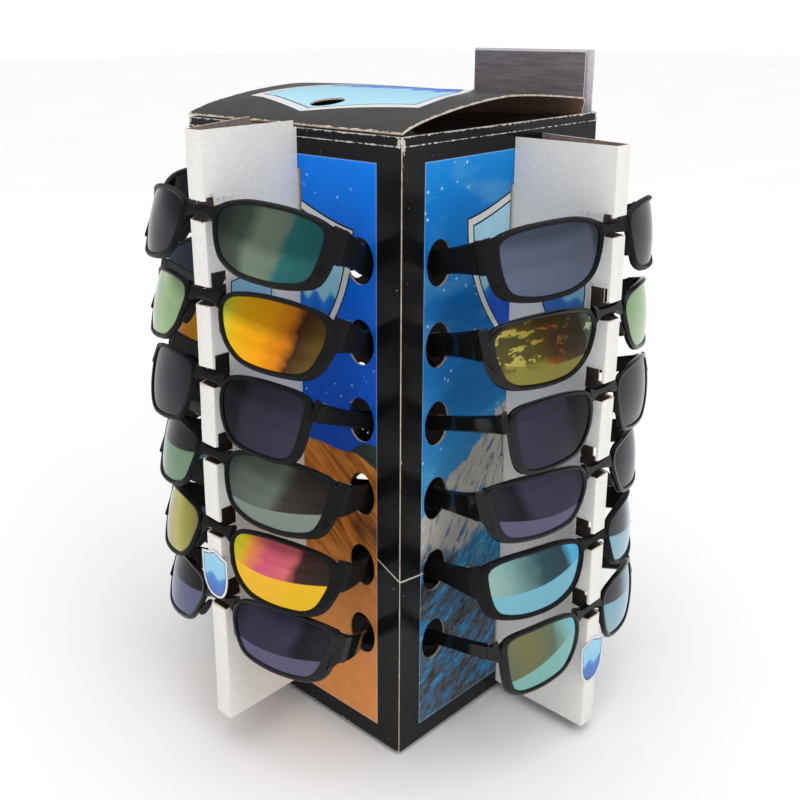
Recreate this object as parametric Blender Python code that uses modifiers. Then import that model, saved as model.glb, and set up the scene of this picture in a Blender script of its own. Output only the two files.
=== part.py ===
"""Countertop carton spinner for sunglasses, in metres, +Z up.

A four-sided carton column turns on a small ball-bearing turntable hidden in its foot. Each side
carries a folded card nose fin; six pairs of glasses straddle each fin by their bridge, and their
temples pass beside it through oval holes in the column.

Each side is modelled in its own frame: local +X runs along the side (anticlockwise seen from
above), local -Y points away from the column, and the side's angle turns it about the column axis.
"""

from math import cos, pi, radians, sin, tan

import bmesh
import bpy
from mathutils import Matrix, Vector

# ---------------------------------------------------------------- driving dimensions
SIDE = 0.168  # outer width of the square column
HALF = SIDE / 2
BOARD = 0.0012  # column board
FIN_BOARD = 0.0010  # nose fin board
GAP = 0.0003  # clearance kept between touching pieces
FOOT_GAP = 0.003  # the column's lower edge runs this far above the table
COLUMN_HEIGHT = 2.0644 * SIDE
TOP = FOOT_GAP + COLUMN_HEIGHT

# temple holes
HOLE_HALF_WIDTH = 0.0575 * SIDE
HOLE_HALF_HEIGHT = 0.074 * SIDE
HOLE_SEGMENTS = 16
ROWS = 6

# how the glasses sit on a fin
FRONT_DEPTH = 0.370 * SIDE  # bridge front, out from the column's face
FIN_DEPTH = 0.375 * SIDE  # spine face, out from the column's face
BRIDGE_HALF_HEIGHT = 0.003
BRIDGE_THICKNESS = 0.005
TEMPLE_THICKNESS = 0.0036
PANTO_SLOPE = 0.19  # the lower rim sits back towards the face
CROSS_LOW = 0.0034  # inside the column a temple narrows to a strip above or below its line
CROSS_HIGH = 0.0078

# turntable, from the table up
PAD_RADIUS = 0.066
PAD_THICKNESS = 0.0012
PLATE_RADIUS = 0.070
PLATE_THICKNESS = 0.0025
RACE_INNER = 0.045
RACE_OUTER = 0.060
RACE_THICKNESS = 0.0020
BALL_RADIUS = 0.0020
BALL_TRACK = (RACE_INNER + RACE_OUTER) / 2
BALL_COUNT = 8
GROOVE_RADIUS = BALL_RADIUS + GAP
PIN_RADIUS = 0.0022
PIN_CLEARANCE = 0.0005
TURNED_STEPS = 48

# lid
LID_THICKNESS = 0.0010
LID_ARCH = 0.076 * SIDE
LID_END = 0.410 * SIDE
TUCK_LENGTH = 0.017
FINGER_HOLE_RADIUS = 0.058 * SIDE
FINGER_HOLE = (-0.292 * SIDE, 0.017 * SIDE)
FLAP_THICKNESS = 0.0010
FLAP_REACH = 0.055
FLAP_SETBACK = 0.014

# one record for each side of the column: angle about Z, hole centres along the side, centre of the
# glasses, fin roots, fin spine edges, fin bottom and top, highest row, row spacing, temple strip side,
# and how steeply the temples slope down into the column, in degrees
SIDES = {
    "right": {
        "angle": 0.0, "holes": (-0.33, 0.39), "centre": 0.050, "roots": (0.030, 0.180),
        "spine": (0.026, 0.098), "fin_z": (0.02, 2.02), "row_top": 1.674, "row_pitch": 0.2612, "strip": 1,
        "pitch": 16.0,
    },
    "back_right": {
        "angle": 90.0, "holes": (-0.33, 0.33), "centre": 0.030, "roots": (-0.120, 0.080),
        "spine": (-0.009, 0.065), "fin_z": (0.06, 2.04), "row_top": 1.682, "row_pitch": 0.2580, "strip": -1,
        "pitch": 25.0,
    },
    "back_left": {
        "angle": 180.0, "holes": (-0.33, 0.39), "centre": 0.050, "roots": (0.030, 0.180),
        "spine": (0.026, 0.098), "fin_z": (0.05, 2.03), "row_top": 1.674, "row_pitch": 0.2612, "strip": 1,
        "pitch": 16.0,
    },
    "left": {
        "angle": 270.0, "holes": (-0.33, 0.33), "centre": 0.030, "roots": (-0.159, 0.060),
        "spine": (-0.009, 0.065), "fin_z": (0.11, 2.086), "row_top": 1.682, "row_pitch": 0.2580, "strip": -1,
        "pitch": 25.0,
    },
}

# glasses shapes, in metres: half width and wrap of the front, how square the wrap is, rim heights
# above and below the bridge line, and half height of the temple at the hinge and at the column
WRAP = {"half_width": 0.0740, "wrap": 0.0273, "square": 3.2, "above": 0.0105, "below": 0.0285,
        "hinge": 0.0090, "temple": 0.0075}
SLIM = {"half_width": 0.0690, "wrap": 0.0160, "square": 3.0, "above": 0.0080, "below": 0.0305,
        "hinge": 0.0055, "temple": 0.0045}
STYLES = {
    "right": (WRAP, WRAP, SLIM, WRAP, WRAP, SLIM),
    "left": (WRAP, WRAP, SLIM, WRAP, WRAP, WRAP),
    "back_right": (WRAP, SLIM, WRAP, WRAP, SLIM, WRAP),
    "back_left": (WRAP, SLIM, WRAP, SLIM, WRAP, WRAP),
}

# die-cut paper badges, and the row whose bridge each spine tag hangs below, with its drop
BADGE_THICKNESS = 0.0004
TAG_PLACES = {"right": (5, 0.033), "back_left": (5, 0.033), "left": (4, 0.0285), "back_right": (4, 0.0285)}


# ---------------------------------------------------------------- scene, materials and helpers
def clear_scene():
    for obj in list(bpy.data.objects):
        bpy.data.objects.remove(obj, do_unlink=True)


def new_collection(name):
    collection = bpy.data.collections.new(name)
    bpy.context.scene.collection.children.link(collection)
    return collection


def make_material(name, colour, roughness, metallic=0.0):
    material = bpy.data.materials.new(name)
    material.use_nodes = True
    shader = material.node_tree.nodes["Principled BSDF"]
    shader.inputs["Base Color"].default_value = (*colour, 1.0)
    shader.inputs["Roughness"].default_value = roughness
    shader.inputs["Metallic"].default_value = metallic
    return material


clear_scene()
PARTS = new_collection("sunglasses_spinner")
CUTTERS = new_collection("cutters")

PRINTED = make_material("printed_board", (0.012, 0.012, 0.014), 0.25)
WHITE_BOARD = make_material("white_board", (0.80, 0.79, 0.76), 0.75)
GREY_BOARD = make_material("grey_board", (0.26, 0.22, 0.20), 0.85)
FRAME_BLACK = make_material("frame_plastic", (0.012, 0.012, 0.013), 0.35)
BADGE_BLUE = make_material("badge_paper", (0.12, 0.45, 0.75), 0.35)
STEEL = make_material("steel", (0.55, 0.56, 0.58), 0.30, 1.0)
RUBBER = make_material("rubber", (0.03, 0.03, 0.03), 0.90)
HARDBOARD = make_material("hardboard", (0.16, 0.10, 0.06), 0.70)
NYLON = make_material("nylon", (0.75, 0.75, 0.72), 0.50)


def place(obj, collection, material=None):
    """Moves an object into one collection and gives it its material."""
    for old in list(obj.users_collection):
        old.objects.unlink(obj)
    collection.objects.link(obj)
    if material is not None:
        obj.data.materials.clear()
        obj.data.materials.append(material)
    return obj


def object_from_bmesh(name, bm, collection, material=None):
    bmesh.ops.recalc_face_normals(bm, faces=bm.faces)
    mesh = bpy.data.meshes.new(name)
    bm.to_mesh(mesh)
    bm.free()
    obj = bpy.data.objects.new(name, mesh)
    collection.objects.link(obj)
    if material is not None:
        mesh.materials.append(material)
    return obj


def add_box(bm, low, high):
    """Adds a box to a bmesh, given its lowest and highest corners."""
    low = Vector(low)
    high = Vector(high)
    size = high - low
    matrix = Matrix.Translation((low + high) / 2) @ Matrix.Diagonal((*size, 1.0))
    bmesh.ops.create_cube(bm, size=1.0, matrix=matrix)


def box_object(name, low, high, collection, material=None):
    bm = bmesh.new()
    add_box(bm, low, high)
    return object_from_bmesh(name, bm, collection, material)


def finish_cutter(obj):
    obj.hide_render = True
    obj.display_type = "WIRE"
    return obj


def cut(obj, cutter, name):
    modifier = obj.modifiers.new(name, "BOOLEAN")
    modifier.operation = "DIFFERENCE"
    modifier.solver = "EXACT"
    modifier.object = cutter


def turned(name, profile, material, steps=TURNED_STEPS):
    """A turned piece from (radius, height) points that run down its outer side and close."""
    mesh = bpy.data.meshes.new(name)
    points = [(radius, 0.0, height) for radius, height in profile]
    closed = profile[0][0] > 0.0 and profile[-1][0] > 0.0
    edges = [(i, i + 1) for i in range(len(points) - 1)]
    if closed:
        edges.append((len(points) - 1, 0))
    mesh.from_pydata(points, edges, [])
    obj = bpy.data.objects.new(name, mesh)
    PARTS.objects.link(obj)
    mesh.materials.append(material)
    screw = obj.modifiers.new("turn", "SCREW")
    screw.steps = steps
    screw.render_steps = steps
    screw.use_merge_vertices = True
    screw.merge_threshold = 0.00001
    screw.use_smooth_shade = False
    return obj


def flat_outline(name, points, thickness, material, plane_matrix):
    """A flat plate from a closed outline, centred on its plane, turned into a welded mesh."""
    curve = bpy.data.curves.new(name, "CURVE")
    curve.dimensions = "2D"
    curve.fill_mode = "BOTH"
    curve.extrude = thickness / 2
    spline = curve.splines.new("POLY")
    spline.points.add(len(points) - 1)
    for point, (x, y) in zip(spline.points, points):
        point.co = (x, y, 0.0, 1.0)
    spline.use_cyclic_u = True
    guide = bpy.data.objects.new(name + "_outline", curve)
    PARTS.objects.link(guide)
    guide.matrix_world = plane_matrix
    bpy.context.view_layer.update()
    evaluated = guide.evaluated_get(bpy.context.evaluated_depsgraph_get())
    mesh = bpy.data.meshes.new_from_object(evaluated)
    bm = bmesh.new()
    bm.from_mesh(mesh)
    bmesh.ops.remove_doubles(bm, verts=bm.verts, dist=0.00001)
    bm.to_mesh(mesh)
    bm.free()
    mesh.name = name
    mesh.materials.clear()
    mesh.materials.append(material)
    obj = bpy.data.objects.new(name, mesh)
    PARTS.objects.link(obj)
    obj.matrix_world = guide.matrix_world
    bpy.data.objects.remove(guide, do_unlink=True)
    return obj


def side_rotation(side):
    return Matrix.Rotation(radians(SIDES[side]["angle"]), 4, "Z")


def side_pitch(side):
    return radians(SIDES[side]["pitch"])


def bridge_rise(side):
    """Height of a bridge's centre above the centres of its temple holes."""
    return FRONT_DEPTH * tan(side_pitch(side))


def row_heights(side):
    """World height of the centre of each temple hole on a side, from the top row down."""
    spec = SIDES[side]
    return [FOOT_GAP + SIDE * (spec["row_top"] - row * spec["row_pitch"]) for row in range(ROWS)]


# ---------------------------------------------------------------- turntable
def turntable_levels():
    """Heights of the turntable's layers, from the table up."""
    level = {}
    level["plate"] = PAD_THICKNESS + GAP
    level["race"] = level["plate"] + PLATE_THICKNESS + GAP
    level["ball"] = level["race"] + RACE_THICKNESS - 0.0010 + GAP + BALL_RADIUS
    level["upper_race"] = 2 * level["ball"] - level["race"] - RACE_THICKNESS
    level["rotor"] = level["upper_race"] + RACE_THICKNESS + GAP
    level["floor"] = level["rotor"] + RACE_THICKNESS + GAP
    level["washer"] = level["floor"] + BOARD + GAP
    return level


LEVEL = turntable_levels()


def ring_profile(inner, outer, bottom, top):
    return [(outer, top), (outer, bottom), (inner, bottom), (inner, top)]


def groove(centre_height, upward):
    """Points of a race's groove, an arc about the ball's centre, from outside to inside."""
    half_angle = radians(48)
    count = 6
    points = []
    for i in range(count + 1):
        angle = half_angle * (1 - 2 * i / count)
        radius = BALL_TRACK + GROOVE_RADIUS * sin(angle)
        offset = GROOVE_RADIUS * cos(angle)
        points.append((radius, centre_height - offset if upward else centre_height + offset))
    return points


def build_turntable():
    turned("anti_slip_pad", [(0.0, PAD_THICKNESS), (PAD_RADIUS, PAD_THICKNESS), (PAD_RADIUS, 0.0), (0.0, 0.0)],
           RUBBER)
    hole = PIN_RADIUS + PIN_CLEARANCE
    bottom = LEVEL["plate"]
    turned("base_plate", ring_profile(hole, PLATE_RADIUS, bottom, bottom + PLATE_THICKNESS), HARDBOARD)

    bottom = LEVEL["race"]
    top = bottom + RACE_THICKNESS
    arc = groove(LEVEL["ball"], upward=True)
    turned("lower_race", [(RACE_OUTER, top), (RACE_OUTER, bottom), (RACE_INNER, bottom), (RACE_INNER, top)]
           + arc[::-1], STEEL)

    bottom = LEVEL["upper_race"]
    top = bottom + RACE_THICKNESS
    arc = groove(LEVEL["ball"], upward=False)
    turned("upper_race", [(RACE_OUTER, top), (RACE_OUTER, bottom)] + arc + [(RACE_INNER, bottom), (RACE_INNER, top)],
           STEEL)

    bottom = LEVEL["rotor"]
    turned("rotor_plate", ring_profile(hole, PLATE_RADIUS, bottom, bottom + RACE_THICKNESS), HARDBOARD)

    build_ball_cage()
    build_pin()


def build_ball_cage():
    thickness = 0.0008
    height = LEVEL["ball"]
    cage = turned("ball_cage", ring_profile(RACE_INNER + 0.002, RACE_OUTER - 0.002, height - thickness / 2,
                                            height + thickness / 2), NYLON)
    bm = bmesh.new()
    ball = bmesh.new()
    bmesh.ops.create_uvsphere(ball, u_segments=12, v_segments=8, radius=BALL_RADIUS)
    ball_mesh = bpy.data.meshes.new("bearing_ball")
    ball.to_mesh(ball_mesh)
    ball.free()
    ball_mesh.shade_smooth()
    ball_mesh.materials.append(STEEL)
    for i in range(BALL_COUNT):
        angle = 2 * pi * i / BALL_COUNT
        centre = (BALL_TRACK * cos(angle), BALL_TRACK * sin(angle), height)
        sphere = bpy.data.objects.new("bearing_ball_%d" % (i + 1), ball_mesh)
        sphere.location = centre
        PARTS.objects.link(sphere)
        bmesh.ops.create_cone(bm, cap_ends=True, segments=16, radius1=BALL_RADIUS + 0.0004,
                              radius2=BALL_RADIUS + 0.0004, depth=0.004, matrix=Matrix.Translation(centre))
    pockets = finish_cutter(object_from_bmesh("cage_pockets", bm, CUTTERS))
    cut(cage, pockets, "pockets")


def build_pin():
    """The centre rivet, its washer and the push nut that keeps the column on its turntable."""
    flange_bottom = LEVEL["race"]
    flange_top = flange_bottom + 0.0010
    top = LEVEL["washer"] + 0.0035
    foot = LEVEL["plate"] + GAP
    turned("pivot_pin", [(0.0, top), (PIN_RADIUS, top), (PIN_RADIUS, flange_top), (0.0060, flange_top),
                         (0.0060, flange_bottom), (PIN_RADIUS, flange_bottom), (PIN_RADIUS, foot), (0.0, foot)],
           STEEL, steps=32)
    washer = LEVEL["washer"]
    inner = PIN_RADIUS + GAP
    turned("pivot_washer", ring_profile(inner, 0.0065, washer, washer + 0.0008), STEEL, steps=32)
    nut = washer + 0.0008 + GAP
    turned("push_nut", [(0.0048, nut + 0.0006), (0.0052, nut), (inner, nut), (inner, nut + 0.0016),
                        (0.0032, nut + 0.0016)], STEEL, steps=32)


# ---------------------------------------------------------------- carton column
def build_column():
    sleeve = box_object("column_sleeve", (-HALF, -HALF, FOOT_GAP), (HALF, HALF, TOP), PARTS, PRINTED)
    inside = HALF - BOARD
    hollow = box_object("sleeve_hollow", (-inside, -inside, 0.0), (inside, inside, TOP + 0.01), CUTTERS)
    cut(sleeve, finish_cutter(hollow), "hollow")
    cut(sleeve, temple_hole_cutters(), "temple_holes")
    cut(sleeve, tab_slot_cutters(), "tab_slots")

    bottom = LEVEL["floor"]
    reach = inside - GAP
    floor = box_object("floor_panel", (-reach, -reach, bottom), (reach, reach, bottom + BOARD), PARTS, GREY_BOARD)
    bm = bmesh.new()
    bmesh.ops.create_cone(bm, cap_ends=True, segments=24, radius1=PIN_RADIUS + PIN_CLEARANCE,
                          radius2=PIN_RADIUS + PIN_CLEARANCE, depth=0.01,
                          matrix=Matrix.Translation((0.0, 0.0, bottom)))
    cut(floor, finish_cutter(object_from_bmesh("floor_pin_hole", bm, CUTTERS)), "pin_hole")


def temple_hole_cutters():
    bm = bmesh.new()
    for side, spec in SIDES.items():
        for along in spec["holes"]:
            for height in row_heights(side):
                centre = Vector((along * SIDE, -HALF, height))
                matrix = (side_rotation(side) @ Matrix.Translation(centre) @ Matrix.Rotation(pi / 2, 4, "X")
                          @ Matrix.Diagonal((HOLE_HALF_WIDTH, HOLE_HALF_HEIGHT, 1.0, 1.0)))
                bmesh.ops.create_cone(bm, cap_ends=True, segments=HOLE_SEGMENTS, radius1=1.0, radius2=1.0,
                                      depth=0.010, matrix=matrix)
    return finish_cutter(object_from_bmesh("temple_hole_cutters", bm, CUTTERS))


TAB_LENGTH = 0.030
TAB_DEPTH = 0.004
TAB_SLOT_WIDTH = 0.0044


def tab_centres(side):
    """World heights of the three tabs down each edge of a fin."""
    low, high = SIDES[side]["fin_z"]
    span = (high - low) * SIDE
    return [FOOT_GAP + low * SIDE + span * part for part in (0.12, 0.5, 0.88)]


def tab_slot_cutters():
    bm = bmesh.new()
    for side, spec in SIDES.items():
        for along in spec["roots"]:
            for height in tab_centres(side):
                x = along * SIDE
                half = TAB_LENGTH / 2 + 0.0005
                piece = bmesh.new()
                add_box(piece, (x - TAB_SLOT_WIDTH / 2, -HALF - 0.005, height - half),
                        (x + TAB_SLOT_WIDTH / 2, -HALF + 0.005, height + half))
                piece.transform(side_rotation(side))
                mesh = bpy.data.meshes.new("slot")
                piece.to_mesh(mesh)
                piece.free()
                bm.from_mesh(mesh)
                bpy.data.meshes.remove(mesh)
    return finish_cutter(object_from_bmesh("tab_slot_cutters", bm, CUTTERS))


# ---------------------------------------------------------------- nose fins
def tab_end(root, spine):
    """Sideways position of a tab's inner end, in line with the side panel it belongs to."""
    return root + (root - spine) * TAB_DEPTH / FIN_DEPTH


def build_fin(side):
    """A folded card channel: two side panels that meet a narrow spine, notched for six bridges."""
    spec = SIDES[side]
    low, high = (FOOT_GAP + part * SIDE for part in spec["fin_z"])
    near_root, far_root = (along * SIDE for along in spec["roots"])
    near_spine, far_spine = (along * SIDE for along in spec["spine"])
    spine_y = -HALF - FIN_DEPTH
    tab_y = -HALF + TAB_DEPTH
    path = [(tab_end(near_root, near_spine), tab_y), (near_spine, spine_y), (far_spine, spine_y),
            (tab_end(far_root, far_spine), tab_y)]
    vertices = [(x, y, z) for z in (low, high) for x, y in path]
    faces = [(i, i + 1, i + 5, i + 4) for i in range(3)]
    mesh = bpy.data.meshes.new("fin_" + side)
    mesh.from_pydata(vertices, [], faces)
    fin = bpy.data.objects.new("fin_" + side, mesh)
    PARTS.objects.link(fin)
    mesh.materials.append(WHITE_BOARD)
    fold = fin.modifiers.new("board", "SOLIDIFY")
    fold.thickness = FIN_BOARD
    fold.offset = -1.0
    fold.use_even_offset = True
    fin.rotation_euler.z = radians(spec["angle"])
    cut(fin, bridge_slit_cutters(side), "bridge_slits")
    cut(fin, side_window_cutters(side), "side_windows")
    cut(fin, root_gap_cutters(side), "root_gaps")


def bridge_slit_cutters(side):
    bm = bmesh.new()
    for height in row_heights(side):
        bridge = height + bridge_rise(side)
        add_box(bm, (-HALF, -HALF - FIN_DEPTH - 0.005, bridge - 0.0055),
                (HALF, -HALF - FRONT_DEPTH + BRIDGE_THICKNESS + 0.0012, bridge + 0.0040))
    cutter = finish_cutter(object_from_bmesh("bridge_slits_" + side, bm, CUTTERS))
    cutter.rotation_euler.z = radians(SIDES[side]["angle"])
    return cutter


def side_window_cutters(side):
    """Windows in both side panels above each bridge; the spine strip stays in front of them."""
    bm = bmesh.new()
    for height in row_heights(side):
        bridge = height + bridge_rise(side)
        add_box(bm, (-HALF, -HALF - FIN_DEPTH + FIN_BOARD + 0.0008, bridge),
                (HALF, -HALF - FIN_DEPTH + 0.0125, bridge + 0.0125))
    cutter = finish_cutter(object_from_bmesh("side_windows_" + side, bm, CUTTERS))
    cutter.rotation_euler.z = radians(SIDES[side]["angle"])
    return cutter


def root_gap_cutters(side):
    """Trims the fin's roots back to the column's face between the tabs."""
    bm = bmesh.new()
    centres = tab_centres(side)
    half = TAB_LENGTH / 2
    starts = [FOOT_GAP - 0.01] + [centre + half for centre in centres]
    ends = [centre - half for centre in centres] + [TOP + 0.03]
    for start, end in zip(starts, ends):
        add_box(bm, (-HALF + 0.01, -HALF - GAP, start), (HALF - 0.01, -HALF + 0.02, end))
    cutter = finish_cutter(object_from_bmesh("root_gaps_" + side, bm, CUTTERS))
    cutter.rotation_euler.z = radians(SIDES[side]["angle"])
    return cutter


# ---------------------------------------------------------------- lid, dust flaps and header card
def lid_height(distance):
    """Height of the lid's top above its crease, at a distance from the crease; its far edge stays proud."""
    part = distance / (LID_END + HALF)
    return LID_ARCH * sin(0.8 * pi * part ** 0.8)


def build_lid():
    """The arched lid, creased to the left side, with a tuck flap inside the opposite side."""
    start = -HALF + 0.0002
    base = TOP + LID_THICKNESS + GAP + 0.0005
    steps = 16
    width = LID_END - start
    profile = []
    for i in range(steps + 1):
        distance = width * i / steps
        profile.append((start + distance, base + lid_height(distance)))
    profile.append((LID_END + 0.0022, profile[-1][1] - 0.003))
    profile.append((LID_END + 0.0040, base - 0.003))
    profile.append((LID_END + 0.0030, base - TUCK_LENGTH))
    reach = HALF - 0.0002
    count = len(profile)
    vertices = [(x, y, z) for y in (-reach, reach) for x, z in profile]
    tuck_reach = HALF - BOARD - 0.002
    for row, sign in ((0, -1), (1, 1)):
        for i in (count - 2, count - 1):
            x, _, z = vertices[row * count + i]
            vertices[row * count + i] = (x, sign * tuck_reach, z)
    faces = [(i, i + 1, count + i + 1, count + i) for i in range(count - 1)]
    mesh = bpy.data.meshes.new("lid")
    mesh.from_pydata(vertices, [], faces)
    mesh.materials.append(PRINTED)
    lid = bpy.data.objects.new("lid", mesh)
    PARTS.objects.link(lid)
    board = lid.modifiers.new("board", "SOLIDIFY")
    board.thickness = LID_THICKNESS
    board.offset = -1.0
    board.use_even_offset = True
    bm = bmesh.new()
    bmesh.ops.create_cone(bm, cap_ends=True, segments=20, radius1=FINGER_HOLE_RADIUS,
                          radius2=FINGER_HOLE_RADIUS, depth=0.08, matrix=Matrix.Translation((*FINGER_HOLE, TOP)))
    cut(lid, finish_cutter(object_from_bmesh("lid_finger_hole", bm, CUTTERS)), "finger_hole")


def build_dust_flap(name, mirrored):
    """A tapered flap folded in under the lid, creased to the right side or the back left side."""
    sign = -1 if mirrored else 1
    root = -HALF + BOARD + GAP + 0.0002
    start = -HALF + FLAP_SETBACK
    end = HALF - FLAP_SETBACK - 0.004
    taper = FLAP_REACH * 0.9
    outline = [(start, root), (end, root), (end - taper * 0.5, root + FLAP_REACH),
               (start + taper, root + FLAP_REACH)]
    outline = [(x, sign * y) for x, y in outline]
    height = TOP - FLAP_THICKNESS / 2
    flat_outline(name, outline, FLAP_THICKNESS, PRINTED, Matrix.Translation((0.0, 0.0, height)))


def build_header_card():
    """A card folded in two that stands in the crease behind the tuck flap, open end to the right."""
    ply = 0.0006
    outer = HALF - BOARD - GAP - 0.0001
    near = outer - 0.0020
    fold = 0.04 * SIDE
    outline = [(near, -0.44 * SIDE), (near + ply, -0.44 * SIDE), (near + ply, fold), (outer - ply, fold),
               (outer - ply, -0.465 * SIDE), (outer, -0.465 * SIDE), (outer, fold + ply), (near, fold + ply)]
    bottom = TOP - 0.028
    top = FOOT_GAP + 2.26 * SIDE
    flat_outline("header_card", outline, top - bottom, GREY_BOARD, Matrix.Translation((0.0, 0.0, (top + bottom) / 2)))


# ---------------------------------------------------------------- badges
def shield_outline(width, height):
    """A shield: straight shoulders, a peaked top edge and sides that curve to a point."""
    half = width / 2
    points = [(0.0, height * 0.50), (-half, height * 0.38)]
    count = 7
    for i in range(count + 1):
        part = i / count
        points.append((-half * cos(part * pi / 2) ** 0.8, height * (0.05 - 0.55 * sin(part * pi / 2))))
    mirrored = [(-x, y) for x, y in points[1:-1]]
    return points + mirrored[::-1]


def build_badges(side):
    """A badge on the fin's panel that faces the front corner, and a smaller tag low on its spine."""
    spec = SIDES[side]
    near_is_low = side in ("right", "back_left")
    root = spec["roots"][0 if near_is_low else 1] * SIDE
    spine = spec["spine"][0 if near_is_low else 1] * SIDE
    sign = -1 if near_is_low else 1
    along = Vector((spine - root, -FIN_DEPTH, 0.0)).normalized()
    outward = Vector((along.y, -along.x, 0.0)) * -sign
    up = Vector((0.0, 0.0, 1.0))
    height = row_heights(side)[0] - 0.13 * SIDE
    depth = 0.21 * SIDE
    centre = Vector((root, -HALF, height)) + along * depth
    centre += outward * (GAP + BADGE_THICKNESS / 2)
    axis = up.cross(outward)
    matrix = side_rotation(side) @ frame_matrix(axis, up, outward, centre)
    flat_outline("fin_badge_" + side, shield_outline(0.19 * SIDE, 0.23 * SIDE), BADGE_THICKNESS, BADGE_BLUE, matrix)

    middle = (spec["spine"][0] + spec["spine"][1]) / 2 * SIDE
    tag_row, tag_drop = TAG_PLACES[side]
    tag_height = row_heights(side)[tag_row] + bridge_rise(side) - tag_drop
    centre = Vector((middle, -HALF - FIN_DEPTH - GAP - BADGE_THICKNESS / 2, tag_height))
    matrix = side_rotation(side) @ frame_matrix(Vector((1, 0, 0)), up, Vector((0, -1, 0)), centre)
    flat_outline("spine_tag_" + side, shield_outline(0.100 * SIDE, 0.15 * SIDE), BADGE_THICKNESS, BADGE_BLUE, matrix)


def frame_matrix(x_axis, y_axis, z_axis, origin):
    matrix = Matrix((x_axis, y_axis, z_axis)).transposed().to_4x4()
    matrix.translation = origin
    return matrix


# ---------------------------------------------------------------- glasses
def temple_reach(side, which):
    """Sideways distance from the bridge to the outside of a temple where it enters its hole."""
    spec = SIDES[side]
    distances = [abs(hole - spec["centre"]) * SIDE for hole in spec["holes"]]
    average = sum(distances) / 2
    return average + (distances[which] - average) / 2 + TEMPLE_THICKNESS / 2


def glasses_stations(style, strip, reach, wall):
    """Half of a pair, from the bridge to a temple's tip.

    Each station is (sideways, rearward, low, high, thickness): a section of the frame's band,
    rearward along the temples and with its heights measured from the bridge's centre. The temple
    meets the column's face at reach sideways and wall rearward.
    """
    half = style["half_width"]
    above = style["above"]
    below = style["below"]
    hinge = style["hinge"]
    temple = style["temple"]
    rim = 0.0034
    strip_low, strip_high = sorted((strip * CROSS_LOW, strip * CROSS_HIGH))

    def back(sideways):
        return style["wrap"] * (sideways / half) ** style["square"]

    front = [
        (0.0000, -BRIDGE_HALF_HEIGHT, BRIDGE_HALF_HEIGHT, BRIDGE_THICKNESS),
        (0.0095, -BRIDGE_HALF_HEIGHT, BRIDGE_HALF_HEIGHT, BRIDGE_THICKNESS),
        (0.0102, -below * 0.38, above * 0.55, rim),
        (0.0160, -below * 0.80, above * 0.70, rim),
        (0.0300, -below * 0.98, above * 0.90, rim),
        (0.0450, -below, above, rim),
        (0.0580, -below * 0.97, above, rim),
        (half * 0.93, -below * 0.68, above * 0.95, rim),
    ]
    stations = [(u, back(u), low, high, thick) for u, low, high, thick in front]
    stations.append((half, back(half), -hinge, hinge * 0.9, TEMPLE_THICKNESS))
    stations.append((half - 0.0005, back(half) + 0.008, -hinge, hinge * 0.9, TEMPLE_THICKNESS))
    stations.append(((half + reach) / 2 + 0.0015, (back(half) + 0.008 + wall) / 2, -temple, temple, TEMPLE_THICKNESS))
    stations.append((reach, wall, -temple, temple, TEMPLE_THICKNESS))
    stations.append((reach - 0.0005, wall + 0.008, -temple, temple, TEMPLE_THICKNESS))
    stations.append((reach - 0.0010, wall + 0.014, strip_low, strip_high, TEMPLE_THICKNESS * 0.9))
    stations.append((reach - 0.0020, wall + 0.050, strip_low, strip_high, TEMPLE_THICKNESS * 0.8))
    stations.append((reach - 0.0030, wall + 0.078, strip_low, (strip_low + strip_high) / 2 + 0.0015,
                     TEMPLE_THICKNESS * 0.7))
    return stations


def glasses_mesh(name, style, side):
    """Lofts the band's sections from one temple tip, round the front, to the other."""
    strip = SIDES[side]["strip"]
    wall = FRONT_DEPTH / cos(side_pitch(side))
    low_half = glasses_stations(style, strip, temple_reach(side, 0), wall)
    high_half = glasses_stations(style, strip, temple_reach(side, 1), wall)
    stations = [(-u, y, low, high, thick) for u, y, low, high, thick in low_half[:0:-1]] + high_half
    last = len(stations) - 1
    bm = bmesh.new()
    sections = []
    for i, (u, y, low, high, thick) in enumerate(stations):
        before = stations[max(i - 1, 0)]
        after = stations[min(i + 1, last)]
        run = Vector((after[0] - before[0], after[1] - before[1])).normalized()
        inward = Vector((-run.y, run.x))
        corners = []
        for offset, height in ((0.0, high), (0.0, low), (thick, low), (thick, high)):
            shear = -PANTO_SLOPE * height if y < style["wrap"] + 0.001 else 0.0
            corners.append(bm.verts.new((u + inward.x * offset, y + inward.y * offset + shear, height)))
        sections.append(corners)
    for first, second in zip(sections, sections[1:]):
        for k in range(4):
            bm.faces.new((first[k], first[(k + 1) % 4], second[(k + 1) % 4], second[k]))
    bm.faces.new(sections[0])
    bm.faces.new(sections[-1][::-1])
    bmesh.ops.recalc_face_normals(bm, faces=bm.faces)
    mesh = bpy.data.meshes.new(name)
    bm.to_mesh(mesh)
    bm.free()
    mesh.materials.append(FRAME_BLACK)
    return mesh


def build_glasses(side):
    spec = SIDES[side]
    for row, height in enumerate(row_heights(side)):
        name = "glasses_%s_%d" % (side, row + 1)
        mesh = glasses_mesh(name, STYLES[side][row], side)
        pair = bpy.data.objects.new(name, mesh)
        PARTS.objects.link(pair)
        bridge = Vector((spec["centre"] * SIDE, -HALF - FRONT_DEPTH, height + bridge_rise(side)))
        pair.location = side_rotation(side) @ bridge
        pair.rotation_euler = (-side_pitch(side), 0.0, radians(spec["angle"]))


# ---------------------------------------------------------------- the whole spinner
def main():
    build_turntable()
    build_column()
    build_lid()
    build_dust_flap("dust_flap_right", mirrored=False)
    build_dust_flap("dust_flap_back_left", mirrored=True)
    build_header_card()
    for side in SIDES:
        build_fin(side)
        build_badges(side)
        build_glasses(side)


main()
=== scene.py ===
"""Looks for the countertop sunglasses spinner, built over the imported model's frame, in metres."""
import random
from math import cos, pi, radians, sin, tan

import bmesh
import bpy
from mathutils import Matrix, Vector


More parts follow.
